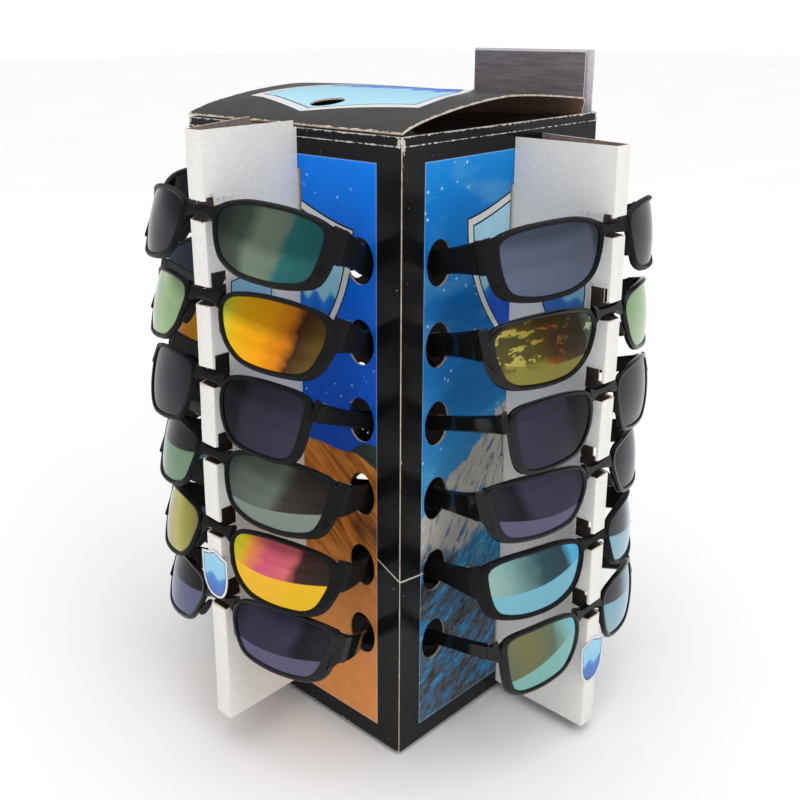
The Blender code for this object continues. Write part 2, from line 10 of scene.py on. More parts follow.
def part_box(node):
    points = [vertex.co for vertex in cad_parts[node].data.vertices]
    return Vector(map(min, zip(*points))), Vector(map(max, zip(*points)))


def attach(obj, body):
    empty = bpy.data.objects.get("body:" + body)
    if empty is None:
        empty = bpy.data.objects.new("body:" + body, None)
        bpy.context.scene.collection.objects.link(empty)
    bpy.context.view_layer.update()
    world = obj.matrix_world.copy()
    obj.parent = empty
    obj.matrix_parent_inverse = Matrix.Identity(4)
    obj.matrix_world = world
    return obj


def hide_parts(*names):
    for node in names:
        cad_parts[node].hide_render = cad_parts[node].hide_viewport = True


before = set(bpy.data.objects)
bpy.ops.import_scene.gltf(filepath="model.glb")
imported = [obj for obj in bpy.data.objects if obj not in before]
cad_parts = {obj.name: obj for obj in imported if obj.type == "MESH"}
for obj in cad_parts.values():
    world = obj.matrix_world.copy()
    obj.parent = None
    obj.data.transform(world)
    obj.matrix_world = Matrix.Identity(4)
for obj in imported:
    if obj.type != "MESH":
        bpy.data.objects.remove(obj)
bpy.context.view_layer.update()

SLEEVE_LOW, SLEEVE_HIGH = (Vector(corner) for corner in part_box("column_sleeve"))
# the carton's width, its own measure: most of what follows is a part of it
SIDE = SLEEVE_HIGH.x - SLEEVE_LOW.x
HALF = SIDE / 2
FOOT = SLEEVE_LOW.z
TOP = SLEEVE_HIGH.z
HEIGHT = (TOP - FOOT) / SIDE
BOARD = 0.0012

HOLE_HALF_WIDTH = 0.0575 * SIDE
HOLE_HALF_HEIGHT = 0.074 * SIDE
FRONT_DEPTH = 0.370 * SIDE
FIN_DEPTH = 0.375 * SIDE
FIN_BOARD = 0.0010
TAB_DEPTH = 0.004
TAB_LENGTH = 0.030
BRIDGE_THICKNESS = 0.005
# how far a front leans back, up its height
PANTO = 0.19
ROWS = 6

LID_REST = 0.0018
LID_END = 0.410 * SIDE
LID_ARCH = 0.076 * SIDE
HEADER_PROUD = 0.0018
HEADER_PLY = 0.00054
SLIT_BELOW = 0.0053
SLIT_ABOVE = 0.0041
SHRED_BASE = 0.0046
# the carton's print, in parts of a side: where a picture ends, the lid's fold line and the dent
PICTURE_HALF, PICTURE_LOW, PICTURE_HIGH = 0.40, 0.063, 1.984
FOLD_LINE = 0.028
DENT = 0.652

# each side's measures in parts of its width, from its middle line and from the foot; angle and pitch
# are in degrees; strip says which way its temples stand in their holes; tag is the row that its
# spine's badge is under, and how far under it, in metres
UNEVEN = {"holes": (-0.33, 0.39), "centre": 0.050, "roots": (0.030, 0.180), "spine": (0.026, 0.098),
          "row_top": 1.674, "row_pitch": 0.2612, "strip": 1, "pitch": 16.0, "tag": (5, 0.033)}
EVEN = {"holes": (-0.33, 0.33), "centre": 0.030, "spine": (-0.009, 0.065),
        "row_top": 1.682, "row_pitch": 0.2580, "strip": -1, "pitch": 25.0, "tag": (4, 0.0285)}
SIDES = {
    "right": {**UNEVEN, "angle": 0.0, "fin_z": (0.02, 2.02)},
    "back_right": {**EVEN, "angle": 90.0, "roots": (-0.120, 0.080), "fin_z": (0.06, 2.04)},
    "back_left": {**UNEVEN, "angle": 180.0, "fin_z": (0.05, 2.03)},
    "left": {**EVEN, "angle": 270.0, "roots": (-0.159, 0.060), "fin_z": (0.11, 2.086)},
}


# ---------------------------------------------------------------- helpers
def srgb(red, green, blue):
    """A colour seen on a screen, 0 to 255 a channel, as a linear colour."""
    linear = []
    for value in (red, green, blue):
        part = value / 255
        linear.append(part / 12.92 if part <= 0.04045 else ((part + 0.055) / 1.055) ** 2.4)
    return (*linear, 1.0)


def operator(name, swapped=False):
    """A method that adds the math node of an arithmetic operation."""
    def method(value, other=0.0):
        return value.graph.math(name, *((other, value) if swapped else (value, other)))
    return method


class Value:
    """A node's output, on which arithmetic adds math nodes to its graph."""

    def __init__(self, graph, socket):
        self.graph = graph
        self.socket = socket

    __add__, __radd__ = operator("ADD"), operator("ADD", True)
    __sub__, __rsub__ = operator("SUBTRACT"), operator("SUBTRACT", True)
    __mul__, __truediv__ = operator("MULTIPLY"), operator("DIVIDE")
    __pow__, __abs__ = operator("POWER"), operator("ABSOLUTE")


class Graph:
    """A material and short ways to wire its nodes; what a way gives back is a Value."""

    def __init__(self, name, roughness=0.5, metallic=0.0, coat=0.0, coat_roughness=0.1, specular=0.5):
        self.material = bpy.data.materials.new(name)
        self.material.use_nodes = True
        self.tree = self.material.node_tree
        self.shader = self.tree.nodes["Principled BSDF"]
        for key, value in (("Roughness", roughness), ("Metallic", metallic), ("Coat Weight", coat),
                           ("Coat Roughness", coat_roughness), ("Specular IOR Level", specular)):
            self.shader.inputs[key].default_value = value
        self._coords = None

    def node(self, kind, **settings):
        made = self.tree.nodes.new(kind)
        for key, value in settings.items():
            setattr(made, key, value)
        return made

    def put(self, socket, value):
        if isinstance(value, Value):
            self.tree.links.new(value.socket, socket)
        else:
            socket.default_value = value

    def coords(self):
        if self._coords is None:
            self._coords = Value(self, self.node("ShaderNodeTexCoord").outputs["Object"])
        return self._coords

    def split(self, vector):
        made = self.node("ShaderNodeSeparateXYZ")
        self.put(made.inputs[0], vector)
        return [Value(self, socket) for socket in made.outputs]

    def combine(self, x, y, z=0.0):
        made = self.node("ShaderNodeCombineXYZ")
        for socket, value in zip(made.inputs, (x, y, z)):
            self.put(socket, value)
        return Value(self, made.outputs[0])

    def math(self, operation, a, b=0.0):
        made = self.node("ShaderNodeMath", operation=operation)
        for socket, value in zip(made.inputs, (a, b)):
            self.put(socket, value)
        return Value(self, made.outputs[0])

    def lowest(self, a, b):
        return self.math("MINIMUM", a, b)

    def highest(self, a, b):
        return self.math("MAXIMUM", a, b)

    def below(self, value, level):
        return self.math("LESS_THAN", value, level)

    def above(self, value, level):
        return self.math("GREATER_THAN", value, level)

    def step(self, value, low, high):
        made = self.node("ShaderNodeMapRange", interpolation_type="SMOOTHSTEP", clamp=True)
        self.put(made.inputs["Value"], value)
        made.inputs["From Min"].default_value = low
        made.inputs["From Max"].default_value = high
        return Value(self, made.outputs["Result"])

    def mix(self, factor, a, b):
        made = self.node("ShaderNodeMix", data_type="RGBA")
        self.put(made.inputs[0], factor)
        self.put(made.inputs[6], a)
        self.put(made.inputs[7], b)
        return Value(self, made.outputs[2])

    def ramp(self, factor, stops):
        made = self.node("ShaderNodeValToRGB")
        elements = made.color_ramp.elements
        while len(elements) < len(stops):
            elements.new(0.5)
        for element, (position, colour) in zip(elements, stops):
            element.position = position
            element.color = srgb(*colour)
        self.put(made.inputs[0], factor)
        return Value(self, made.outputs[0])

    def vector_node(self, kind, vector, output, **inputs):
        made = self.node(kind)
        self.put(made.inputs["Vector"], vector)
        for key, value in inputs.items():
            made.inputs[key].default_value = value
        return Value(self, made.outputs[output])

    def noise(self, vector, scale, detail=3.0, roughness=0.5, distortion=0.0):
        return self.vector_node("ShaderNodeTexNoise", vector, "Fac", Scale=scale, Detail=detail,
                                Roughness=roughness, Distortion=distortion)

    def voronoi(self, vector, scale):
        return self.vector_node("ShaderNodeTexVoronoi", vector, "Distance", Scale=scale)

    def mapping(self, vector, scale=(1, 1, 1), rotation=(0, 0, 0)):
        return self.vector_node("ShaderNodeMapping", vector, 0, Scale=scale, Rotation=rotation)

    def bump(self, height, strength, distance=0.001):
        made = self.node("ShaderNodeBump")
        self.put(made.inputs["Height"], height)
        made.inputs["Strength"].default_value = strength
        made.inputs["Distance"].default_value = distance
        self.tree.links.new(made.outputs[0], self.shader.inputs["Normal"])

    def finish(self, colour, roughness=None):
        self.put(self.shader.inputs["Base Color"], colour)
        if roughness is not None:
            self.put(self.shader.inputs["Roughness"], roughness)
        return self.material


def new_object(name, bm, materials, smooth=True):
    mesh = bpy.data.meshes.new(name)
    bm.to_mesh(mesh)
    bm.free()
    for material in materials:
        mesh.materials.append(material)
    if smooth:
        mesh.shade_smooth()
    obj = bpy.data.objects.new(name, mesh)
    bpy.context.scene.collection.objects.link(obj)
    return obj


def add_box(bm, low, high, matrix=None):
    low = Vector(low)
    high = Vector(high)
    place = Matrix.Translation((low + high) / 2) @ Matrix.Diagonal((*(high - low), 1.0))
    if matrix is not None:
        place = matrix @ place
    bmesh.ops.create_cube(bm, size=1.0, matrix=place)


def skin(bm, rows, closed=False, swapped=False):
    """Joins rows of vertices with quads, which also close each row where that is asked for."""
    count = len(rows[0])
    for a, b in zip(rows, rows[1:]):
        for i in range(count if closed else count - 1):
            k = (i + 1) % count
            bm.faces.new((a[i], a[k], b[k], b[i]) if swapped else (a[i], b[i], b[k], a[k]))


def close_rings(bm, rings):
    """Skins a stack of equal rings and caps both its ends."""
    skin(bm, rings, closed=True, swapped=True)
    bm.faces.new(rings[0][::-1])
    bm.faces.new(rings[-1])
    bmesh.ops.recalc_face_normals(bm, faces=bm.faces)


def thicken(obj, thickness, offset=-1.0, even=False, inner=0, rim=0):
    """Gives a sheet the thickness of board, with material slots for its inner face and its rim."""
    board = obj.modifiers.new("board", "SOLIDIFY")
    board.thickness = thickness
    board.offset = offset
    board.use_even_offset = even
    board.material_offset = inner
    board.material_offset_rim = rim


def apply_modifiers(obj):
    """Bakes an object's modifiers into its mesh."""
    bpy.context.view_layer.update()
    evaluated = obj.evaluated_get(bpy.context.evaluated_depsgraph_get())
    mesh = bpy.data.meshes.new_from_object(evaluated)
    obj.modifiers.clear()
    old = obj.data
    obj.data = mesh
    bpy.data.meshes.remove(old)
    return obj


def cut(obj, cutter):
    modifier = obj.modifiers.new("cut", "BOOLEAN")
    modifier.operation = "DIFFERENCE"
    modifier.solver = "EXACT"
    modifier.object = cutter


def drop(obj):
    mesh = obj.data
    bpy.data.objects.remove(obj, do_unlink=True)
    bpy.data.meshes.remove(mesh)


def shade_by_angle(obj, angle=radians(35)):
    """Smooth shading with edges sharper than an angle kept crisp."""
    mesh = obj.data
    mesh.shade_smooth()
    bm = bmesh.new()
    bm.from_mesh(mesh)
    for edge in bm.edges:
        if len(edge.link_faces) == 2 and edge.calc_face_angle(0.0) > angle:
            edge.smooth = False
    bm.to_mesh(mesh)
    bm.free()


def side_rotation(side):
    return Matrix.Rotation(radians(SIDES[side]["angle"]), 4, "Z")


def side_pitch(side):
    return radians(SIDES[side]["pitch"])


def bridge_rise(side):
    return FRONT_DEPTH * tan(side_pitch(side))


def row_heights(side):
    spec = SIDES[side]
    return [FOOT + SIDE * (spec["row_top"] - row * spec["row_pitch"]) for row in range(ROWS)]


# ---------------------------------------------------------------- card and board materials
def shield_distance(graph, across, up, half_width, peak=0.31, length=1.75):
    """How far inside a shield a point is, in half widths; across and up are measured from its shoulders."""
    s = abs(across / half_width)
    w = up / half_width
    inside = graph.highest(1.0 - s, 0.0)
    top = inside ** 1.4 * peak
    fall = graph.highest(w / -length, 0.0)
    side = 1.0 - fall ** 2.2
    return graph.lowest(top - w, side - s)


def shield_paint(graph, background, distance, across, up, half_width, rim=0.075, line=0.020):
    """Lays a shield over a background: dark lines, a pale band and a blue field with waves."""
    dark = srgb(14, 20, 30)
    pale = graph.mix(graph.noise(graph.coords(), 500.0), srgb(205, 208, 208), srgb(232, 234, 232))
    wave = graph.math("SINE", across * (26.0 / half_width))
    level = up / half_width + wave * 0.05
    field = graph.ramp(level * 0.5 + 1.0, [(0.0, (8, 66, 180)), (0.50, (14, 88, 204)),
                                           (0.60, (30, 122, 216)), (0.63, (150, 206, 230)),
                                           (1.0, (172, 220, 238))])
    colour = graph.mix(graph.step(distance, 0.0, 0.004), background, dark)
    colour = graph.mix(graph.step(distance, line, line + 0.004), colour, pale)
    colour = graph.mix(graph.step(distance, line + rim, line + rim + 0.004), colour, dark)
    return graph.mix(graph.step(distance, 2 * line + rim, 2 * line + rim + 0.004), colour, field)


def gloss_black(graph):
    """Glossy black ink with faint mottling and fine scuffs; returns its colour and roughness."""
    point = graph.coords()
    cloud = graph.noise(point, 22.0, 4.0, 0.6)
    black = graph.mix(cloud, srgb(8, 8, 9), srgb(24, 24, 26))
    speck = graph.step(graph.noise(point, 420.0, 2.0, 0.5), 0.735, 0.76)
    patch = graph.step(graph.noise(point, 30.0), 0.5, 0.62)
    speck = speck * patch
    black = graph.mix(speck, black, srgb(170, 168, 162))
    roughness = 0.14 + graph.noise(point, 60.0, 5.0, 0.65) * 0.22
    return black, roughness


def print_material(name, stone):
    """The printed outside of the carton: black border, a sky over sandstone, or a sky over a snowy peak."""
    graph = Graph(name, specular=0.16)
    x, y, z = graph.split(graph.coords())
    if stone:
        t = y * graph.math("SIGN", x) / SIDE
        front = graph.below(x, 0.0)
    else:
        t = x * (graph.math("SIGN", y) * -1.0) / SIDE
        front = graph.below(y, 0.0)
    h = (z - FOOT) / SIDE
    flat = graph.combine(t, h)
    black, rough = gloss_black(graph)
    picture = stone_picture(graph, t, h, flat) if stone else peak_picture(graph, t, h, flat)
    centre, half_width, shoulder = (0.0, 0.306, 1.778) if stone else (0.10, 0.30, 1.793)
    across = t - centre
    up = h - shoulder
    distance = shield_distance(graph, across, up, half_width)
    picture = shield_paint(graph, picture, distance, across, up, half_width)

    margin = graph.lowest(PICTURE_HALF - abs(t), graph.lowest(h - PICTURE_LOW, PICTURE_HIGH - h))
    colour = graph.mix(graph.step(margin, -0.0008, 0.0008), black, picture)
    hairline = graph.step(margin, -0.0005, 0.0) * graph.step(margin, 0.0035, 0.002)
    colour = graph.mix(hairline * 0.35, colour, srgb(190, 215, 235))
    worn, ragged = carton_wear(graph, t, h, front, stone)
    colour = graph.mix(worn * 0.85, colour, srgb(216, 214, 208))
    rough = rough + worn * 0.4
    graph.bump(graph.noise(graph.coords(), 9.0, 2.0) + ragged * 0.015, 0.28, 0.004)
    return graph.finish(colour, rough)


def carton_wear(graph, t, h, front, stone):
    """Where the ink has gone: the upright edges, rim, lid fold and foot, and the dent at the near corner."""
    edge = 0.5 - abs(t)
    ragged = graph.noise(graph.mapping(graph.coords(), scale=(1.0, 1.0, 0.35)), 330.0, 4.0, 0.7)
    chipped = graph.step(h, HEIGHT - 0.06, HEIGHT - 0.01) * 0.20
    reach = (ragged - 0.615 + chipped) * 0.095
    upright = graph.below(edge, reach)
    drop_from_rim = HEIGHT - h
    rim = graph.below(drop_from_rim, (ragged - 0.38) * 0.022)
    fold = abs(drop_from_rim - FOLD_LINE)
    fold = graph.below(fold, (ragged - 0.40) * 0.011)
    base = graph.below(h, (ragged - 0.58) * 0.06)
    if stone:
        dent = h - (DENT + edge * 0.47)
        near = graph.above(t, 0.40)
    else:
        dent = h - (DENT - edge * 0.12)
        near = graph.below(t, -0.368)
    dent = graph.below(abs(dent), 0.0028)
    dent = dent * near * front
    worn = graph.highest(graph.highest(upright, rim), graph.highest(fold, base))
    return graph.highest(worn, dent), ragged


def stone_picture(graph, t, h, flat):
    sky = graph.ramp(h - 1.0, [(0.0, (0, 80, 204)), (0.35, (0, 98, 226)), (0.8, (0, 118, 240)),
                               (1.0, (0, 132, 246))])
    sky = graph.mix(graph.noise(flat, 5.0, 2.0) * 0.18, sky, srgb(0, 66, 190))
    drops = graph.step(graph.voronoi(flat, 36.0), 0.20, 0.13)
    few = graph.step(graph.noise(flat, 7.0), 0.53, 0.58)
    sky = graph.mix(drops * few * 0.8, sky, srgb(176, 216, 250))
    aslant = graph.mapping(graph.mapping(flat, rotation=(0, 0, radians(36))), scale=(3.0, 26.0, 1.0))
    strata = graph.noise(aslant, 1.6, 5.0, 0.62, 0.6)
    rock = graph.ramp(strata, [(0.30, (96, 48, 10)), (0.42, (170, 92, 24)), (0.53, (216, 130, 44)),
                               (0.70, (236, 158, 72))])
    plain = graph.mix(graph.noise(flat, 14.0, 5.0, 0.7), srgb(206, 122, 52), srgb(230, 158, 92))
    rock = graph.mix(graph.step(h, 0.78, 0.40), rock, plain)
    shade = graph.step(graph.noise(flat, 4.0, 2.0), 0.52, 0.70) * 0.75
    shade = shade * graph.step(h, 0.45, 0.75)
    rock = graph.mix(shade, rock, srgb(64, 34, 16))
    rough = (graph.noise(flat, 9.0, 3.0) - 0.5) * 0.05
    crest = 1.040 - graph.step(t, 0.28, 0.42) * 0.026 + rough
    bush = 1.035 + graph.step(t, 0.26, 0.35) * 0.062 + rough
    leaves = graph.mix(graph.noise(flat, 90.0, 3.0), srgb(18, 40, 34), srgb(52, 74, 62))
    below = bush - h
    picture = graph.mix(graph.step(below, -0.003, 0.003), sky, leaves)
    return graph.mix(graph.step(crest - h, -0.003, 0.003), picture, rock)


def peak_picture(graph, t, h, flat):
    sky = graph.ramp((h - 0.9) * 0.9, [(0.0, (66, 160, 214)), (0.22, (14, 124, 196)), (0.55, (0, 104, 180)),
                                       (0.85, (0, 120, 204)), (1.0, (6, 140, 220))])
    haze = graph.step(graph.noise(graph.mapping(flat, scale=(3.0, 7.0, 1.0)), 1.2, 3.0), 0.50, 0.72)
    sky = graph.mix(haze * 0.35, sky, srgb(110, 185, 222))
    drops = graph.step(graph.voronoi(flat, 34.0), 0.22, 0.14)
    few = graph.step(graph.noise(flat, 6.0), 0.51, 0.56)
    sky = graph.mix(drops * few * 0.75, sky, srgb(190, 228, 245))
    lean = graph.mapping(graph.mapping(flat, rotation=(0, 0, radians(-57))), scale=(4.5, 24.0, 1.0))
    strokes = graph.noise(lean, 1.5, 6.0, 0.68, 0.9)
    snow = graph.ramp(strokes, [(0.34, (8, 60, 124)), (0.415, (24, 106, 170)), (0.44, (150, 156, 152)),
                                (0.50, (206, 201, 190)), (0.58, (184, 178, 168)), (0.75, (236, 232, 224))])
    water = graph.ramp(graph.noise(lean, 2.3, 6.0, 0.72, 1.2),
                       [(0.36, (14, 58, 100)), (0.48, (24, 112, 162)), (0.60, (70, 160, 200)),
                        (0.68, (196, 214, 214))])
    slope = graph.mapping(graph.mapping(flat, rotation=(0, 0, radians(-28))), scale=(1.0, 3.2, 1.0))
    stones = graph.noise(slope, 20.0, 6.0, 0.75, 0.8) * 0.55 + graph.noise(slope, 4.0, 3.0, 0.6) * 0.45
    scree = graph.ramp(stones, [(0.38, (24, 28, 32)), (0.46, (62, 66, 70)), (0.505, (84, 92, 98)),
                                (0.53, (24, 108, 162)), (0.60, (60, 150, 200)), (0.68, (150, 206, 226))])
    ridge = (t + 0.25) * 0.68 + 0.935
    ridge = ridge + (graph.noise(flat, 14.0, 4.0) - 0.5) * 0.12
    wobble = (graph.noise(flat, 6.0, 4.0) - 0.5) * 0.30
    foot = 0.72 + t * 0.35 + wobble
    shore = 0.54 - t * 0.45 + wobble
    picture = graph.mix(graph.step(ridge - h, -0.004, 0.004), sky, snow)
    picture = graph.mix(graph.step(foot - h, -0.05, 0.05), picture, water)
    return graph.mix(graph.step(shore - h, -0.06, 0.06), picture, scree)


def board_material(name, light, dark, stretch=(1.0, 1.0, 6.0), roughness=0.8, grain=0.18):
    """Uncoated board: short fibres, faint blotches and a dull surface."""
    graph = Graph(name, roughness=roughness, specular=0.3)
    point = graph.coords()
    fibre = graph.noise(graph.mapping(point, scale=stretch), 260.0, 4.0, 0.65)
    blotch = graph.noise(point, 34.0, 3.0, 0.6)
    colour = graph.mix(graph.step(fibre, 0.35, 0.68), dark, light)
    colour = graph.mix(blotch * 0.30, colour, dark)
    graph.bump(fibre, grain, 0.0004)
    return graph.finish(colour, roughness - 0.08 + blotch * 0.14)


def lid_material():
    graph = Graph("lid_print", specular=0.3)
    x, y, _ = graph.split(graph.coords())
    black, rough = gloss_black(graph)
    # the lid's black clouded with warm grey is a painted sheen
    black_with_painted_sheen = graph.mix(graph.noise(graph.coords(), 45.0, 5.0, 0.7) * 0.55, black, srgb(62, 56, 50))
    across = y / SIDE - 0.02
    up = -0.295 - x / SIDE
    distance = shield_distance(graph, across, up, 0.40)
    colour = shield_paint(graph, black_with_painted_sheen, distance, across, up, 0.40, rim=0.085, line=0.016)
    ragged = graph.noise(graph.coords(), 260.0, 4.0, 0.7)
    reach = (ragged - 0.42) * 0.010
    fromend = HALF - abs(y)
    fromcrease = x + HALF
    wear = graph.highest(graph.below(fromend, reach * 0.6), graph.below(fromcrease, reach * 0.7))
    colour = graph.mix(wear, colour, srgb(212, 200, 176))
    graph.bump(graph.noise(graph.coords(), 16.0, 3.0), 0.35, 0.003)
    return graph.finish(colour, rough + 0.12)


def banded_card_material():
    """Bare grey card with streaks along it and a pale strip of liner along its top edge."""
    graph = Graph("banded_card", roughness=0.8, specular=0.3)
    point = graph.coords()
    _, _, z = graph.split(point)
    streak = graph.noise(graph.mapping(point, scale=(1.0, 0.15, 2.5)), 260.0, 4.0, 0.65)
    colour = graph.mix(graph.step(streak, 0.35, 0.68), srgb(112, 103, 106), srgb(134, 125, 128))
    ragged = graph.noise(point, 300.0, 3.0) * 0.0006
    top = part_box("header_card")[1][2]
    band = graph.above(z + ragged, top + HEADER_PROUD - 0.0011)
    graph.bump(streak, 0.08, 0.0004)
    return graph.finish(graph.mix(band, colour, srgb(226, 224, 222)))


def plain_print_material():
    graph = Graph("black_print", specular=0.2)
    black, rough = gloss_black(graph)
    graph.bump(graph.noise(graph.coords(), 30.0, 3.0), 0.3, 0.002)
    return graph.finish(black, rough)


def metal_material(name, colour, roughness):
    graph = Graph(name, metallic=1.0)
    stain = graph.noise(graph.coords(), 130.0, 4.0, 0.6)
    brushed = graph.noise(graph.mapping(graph.coords(), scale=(1.0, 1.0, 12.0)), 500.0, 2.0)
    graph.bump(brushed, 0.08, 0.0002)
    return graph.finish(graph.mix(stain * 0.5, colour, srgb(96, 94, 92)), roughness + stain * 0.2)


def rubber_material():
    graph = Graph("rubber_ribs", specular=0.3)
    grain = graph.voronoi(graph.coords(), 900.0)
    graph.bump(grain, 0.4, 0.0004)
    dust = graph.noise(graph.coords(), 60.0, 4.0)
    return graph.finish(graph.mix(dust * 0.4, srgb(24, 24, 24), srgb(70, 68, 66)), 0.85)


# ---------------------------------------------------------------- glasses materials
def frame_material(name, matte):
    """Moulded black plastic, matte with a fine grain or polished."""
    graph = Graph(name, coat=0.0 if matte else 0.10, coat_roughness=0.05, specular=0.12 if matte else 0.22)
    point = graph.coords()
    haze = graph.noise(point, 70.0, 4.0, 0.6)
    colour = graph.mix(haze * (0.55 if matte else 0.2), srgb(13, 13, 14), srgb(29, 29, 31))
    dust = graph.step(graph.noise(point, 900.0, 1.0), 0.74, 0.80)
    colour = graph.mix(dust * 0.35, colour, srgb(150, 148, 144))
    base = 0.34 if matte else 0.08
    roughness = base + haze * (0.22 if matte else 0.10)
    graph.bump(graph.noise(point, 1500.0, 2.0), 0.10 if matte else 0.02, 0.0003)
    return graph.finish(colour, roughness)


def lens_material(name, stops, mirror, band=None, patches=None):
    """A lens: smoke, or a mirror coat whose colour runs across it, partly the coat's own tint and partly
    painted reflection, with a paler band along the bottom that is a painted reflection.

    A band, the painted reflection, is (colour, height of its edge at mid lens, how much the edge climbs
    outwards), in millimetres.
    Patches is the dark colour of the blots that a mirror coat shows above its band, if it has any.
    """
    strong = mirror > 0.5
    graph = Graph(name, metallic=mirror, coat=0.10 if strong else 0.0, coat_roughness=0.02,
                  specular=0.28 if strong else 0.16)
    u, _, v = graph.split(graph.coords())
    sideways = abs(u) * 1000.0
    height = v * 1000.0
    cloud = graph.noise(graph.coords(), 55.0, 3.0, 0.55)
    run = (sideways - 14.0) / 54.0 + (cloud - 0.5) * 0.22 + height * -0.004
    # the colour run is the coat's own tint and painted reflection together
    colour = graph.ramp(run, stops)
    # the paler band along the bottom is a painted reflection
    if band is not None:
        shade, level, climb = band
        out = (sideways - 41.0) / 27.0
        edge = out * climb + level + abs(out) ** 2.0 * 4.0
        reflected_band_mask = graph.step(edge - height, -0.35, 0.35)
        colour = graph.mix(reflected_band_mask * 0.9, colour, srgb(*shade))
    if patches is not None:
        flattened = graph.mapping(graph.coords(), scale=(1.0, 1.0, 1.8))
        blots = graph.step(graph.noise(flattened, 95.0, 4.0, 0.6), 0.42, 0.46)
        shown = blots * graph.step(height, -20.0, -12.0)
        colour = graph.mix(shown * 0.85, colour, srgb(*patches))
    smudge = graph.step(graph.noise(graph.coords(), 42.0, 5.0, 0.65), 0.50, 0.75)
    roughness = 0.03 + smudge * 0.08
    graph.bump(graph.noise(graph.coords(), 26.0, 1.0), 0.03, 0.001)
    return graph.finish(colour, roughness)


# each lens: its colour run across the lens, how mirrored it is, then its paler bottom band and its blot
# colour where it has them; the runs are partly each coat's own tint and partly painted reflection, teal's
# darker middle standing for a reflected badge, and each band is a painted reflection
LENSES = {
    "grey_green": ([(0.0, (26, 34, 32)), (0.38, (66, 78, 68)), (0.50, (112, 128, 108)),
                    (0.74, (104, 122, 106)), (0.80, (34, 100, 98)), (1.0, (30, 88, 88))], 0.7),
    "smoked_green": ([(0.0, (30, 36, 34)), (0.2, (76, 84, 76)), (0.60, (92, 102, 92)), (0.74, (50, 44, 38)),
                      (1.0, (30, 26, 24))], 0.6, ((120, 132, 124), -17.0, 3.0)),
    "fire": ([(0.0, (170, 190, 50)), (0.16, (208, 196, 40)), (0.26, (232, 180, 10)), (0.60, (236, 158, 8)),
              (0.78, (206, 120, 14)), (0.86, (66, 36, 24)), (1.0, (92, 72, 26))], 0.9),
    "sunset": ([(0.0, (160, 178, 30)), (0.20, (196, 170, 30)), (0.30, (218, 132, 60)),
                (0.45, (196, 84, 110)),
                (0.72, (198, 96, 100)), (0.80, (60, 36, 34)), (1.0, (40, 32, 28))], 0.9,
               ((228, 180, 36), -13.0, 1.5)),
    "smoke": ([(0.0, (14, 15, 18)), (0.3, (34, 34, 42)), (0.7, (30, 30, 38)), (1.0, (14, 14, 18))], 0.2),
    "violet": ([(0.0, (12, 11, 16)), (0.22, (46, 44, 60)), (0.70, (52, 50, 68)), (0.80, (26, 24, 30)),
                (1.0, (40, 36, 44))], 0.5, ((92, 90, 114), -15.0, 2.0)),
    "slate": ([(0.0, (10, 10, 14)), (0.26, (16, 15, 20)), (0.38, (42, 40, 54)), (1.0, (54, 52, 68))], 0.45),
    "steel_blue": ([(0.0, (12, 13, 17)), (0.10, (30, 33, 42)), (0.17, (64, 71, 88)), (0.5, (76, 84, 103)),
                    (1.0, (84, 93, 112))], 0.7),
    "gold": ([(0.0, (130, 156, 128)), (0.16, (140, 164, 130)), (0.22, (40, 34, 20)), (0.45, (84, 62, 24)),
              (0.60, (124, 62, 28)), (0.75, (150, 136, 44)), (1.0, (170, 160, 84))], 0.9,
             ((118, 114, 52), -18.0, 2.0), (34, 30, 16)),
    "teal": ([(0.0, (60, 150, 190)), (0.16, (70, 160, 196)), (0.24, (34, 56, 66)), (0.55, (44, 72, 78)),
              (0.82, (112, 148, 146)), (1.0, (140, 172, 162))], 0.9, ((116, 176, 196), -11.0, -3.0)),
    "sea": ([(0.0, (110, 186, 208)), (0.20, (116, 164, 158)), (0.36, (92, 104, 84)), (0.70, (112, 110, 70)),
             (1.0, (96, 108, 92))], 0.9, ((128, 182, 176), -16.0, -8.0)),
    "pale_green": ([(0.0, (120, 150, 110)), (0.5, (150, 178, 128)), (1.0, (96, 124, 92))], 0.8),
    "olive": ([(0.0, (96, 96, 40)), (0.5, (170, 166, 70)), (1.0, (70, 74, 40))], 0.8),
    "ice": ([(0.0, (22, 28, 32)), (0.4, (30, 38, 44)), (0.6, (100, 140, 156)), (1.0, (120, 166, 184))],
            0.85,
            ((126, 174, 190), -8.0, 0.0)),
    "dim_green": ([(0.0, (16, 17, 18)), (0.5, (30, 32, 32)), (1.0, (22, 24, 24))], 0.5,
                  ((110, 142, 112), -6.0, 2.0)),
    "dim_violet": ([(0.0, (12, 12, 16)), (0.5, (28, 27, 34)), (1.0, (20, 20, 26))], 0.5,
                   ((92, 94, 124), -5.0, 2.0)),
}
# each pair, top row first: frame shape, frame finish, lens towards the front corner, other lens
PAIRS = {
    "left": ["sport matte grey_green smoke", "wrap matte fire pale_green",
             "square matte slate smoke", "sport matte smoked_green dim_green",
             "wrap matte sunset olive", "angular gloss violet dim_violet"],
    "right": ["sport matte steel_blue smoke", "wrap gloss gold pale_green",
              "square gloss slate smoke", "angular gloss violet smoke",
              "sport matte teal ice", "square gloss sea ice"],
    "back_left": ["sport matte smoke smoke", "square gloss steel_blue steel_blue",
                  "wrap matte fire fire", "square gloss slate slate",
                  "sport matte teal teal", "angular gloss violet violet"],
    "back_right": ["wrap matte gold gold", "square gloss violet violet",
                   "sport matte sunset sunset", "angular gloss smoke smoke",
                   "square gloss sea sea", "wrap matte grey_green grey_green"],
}

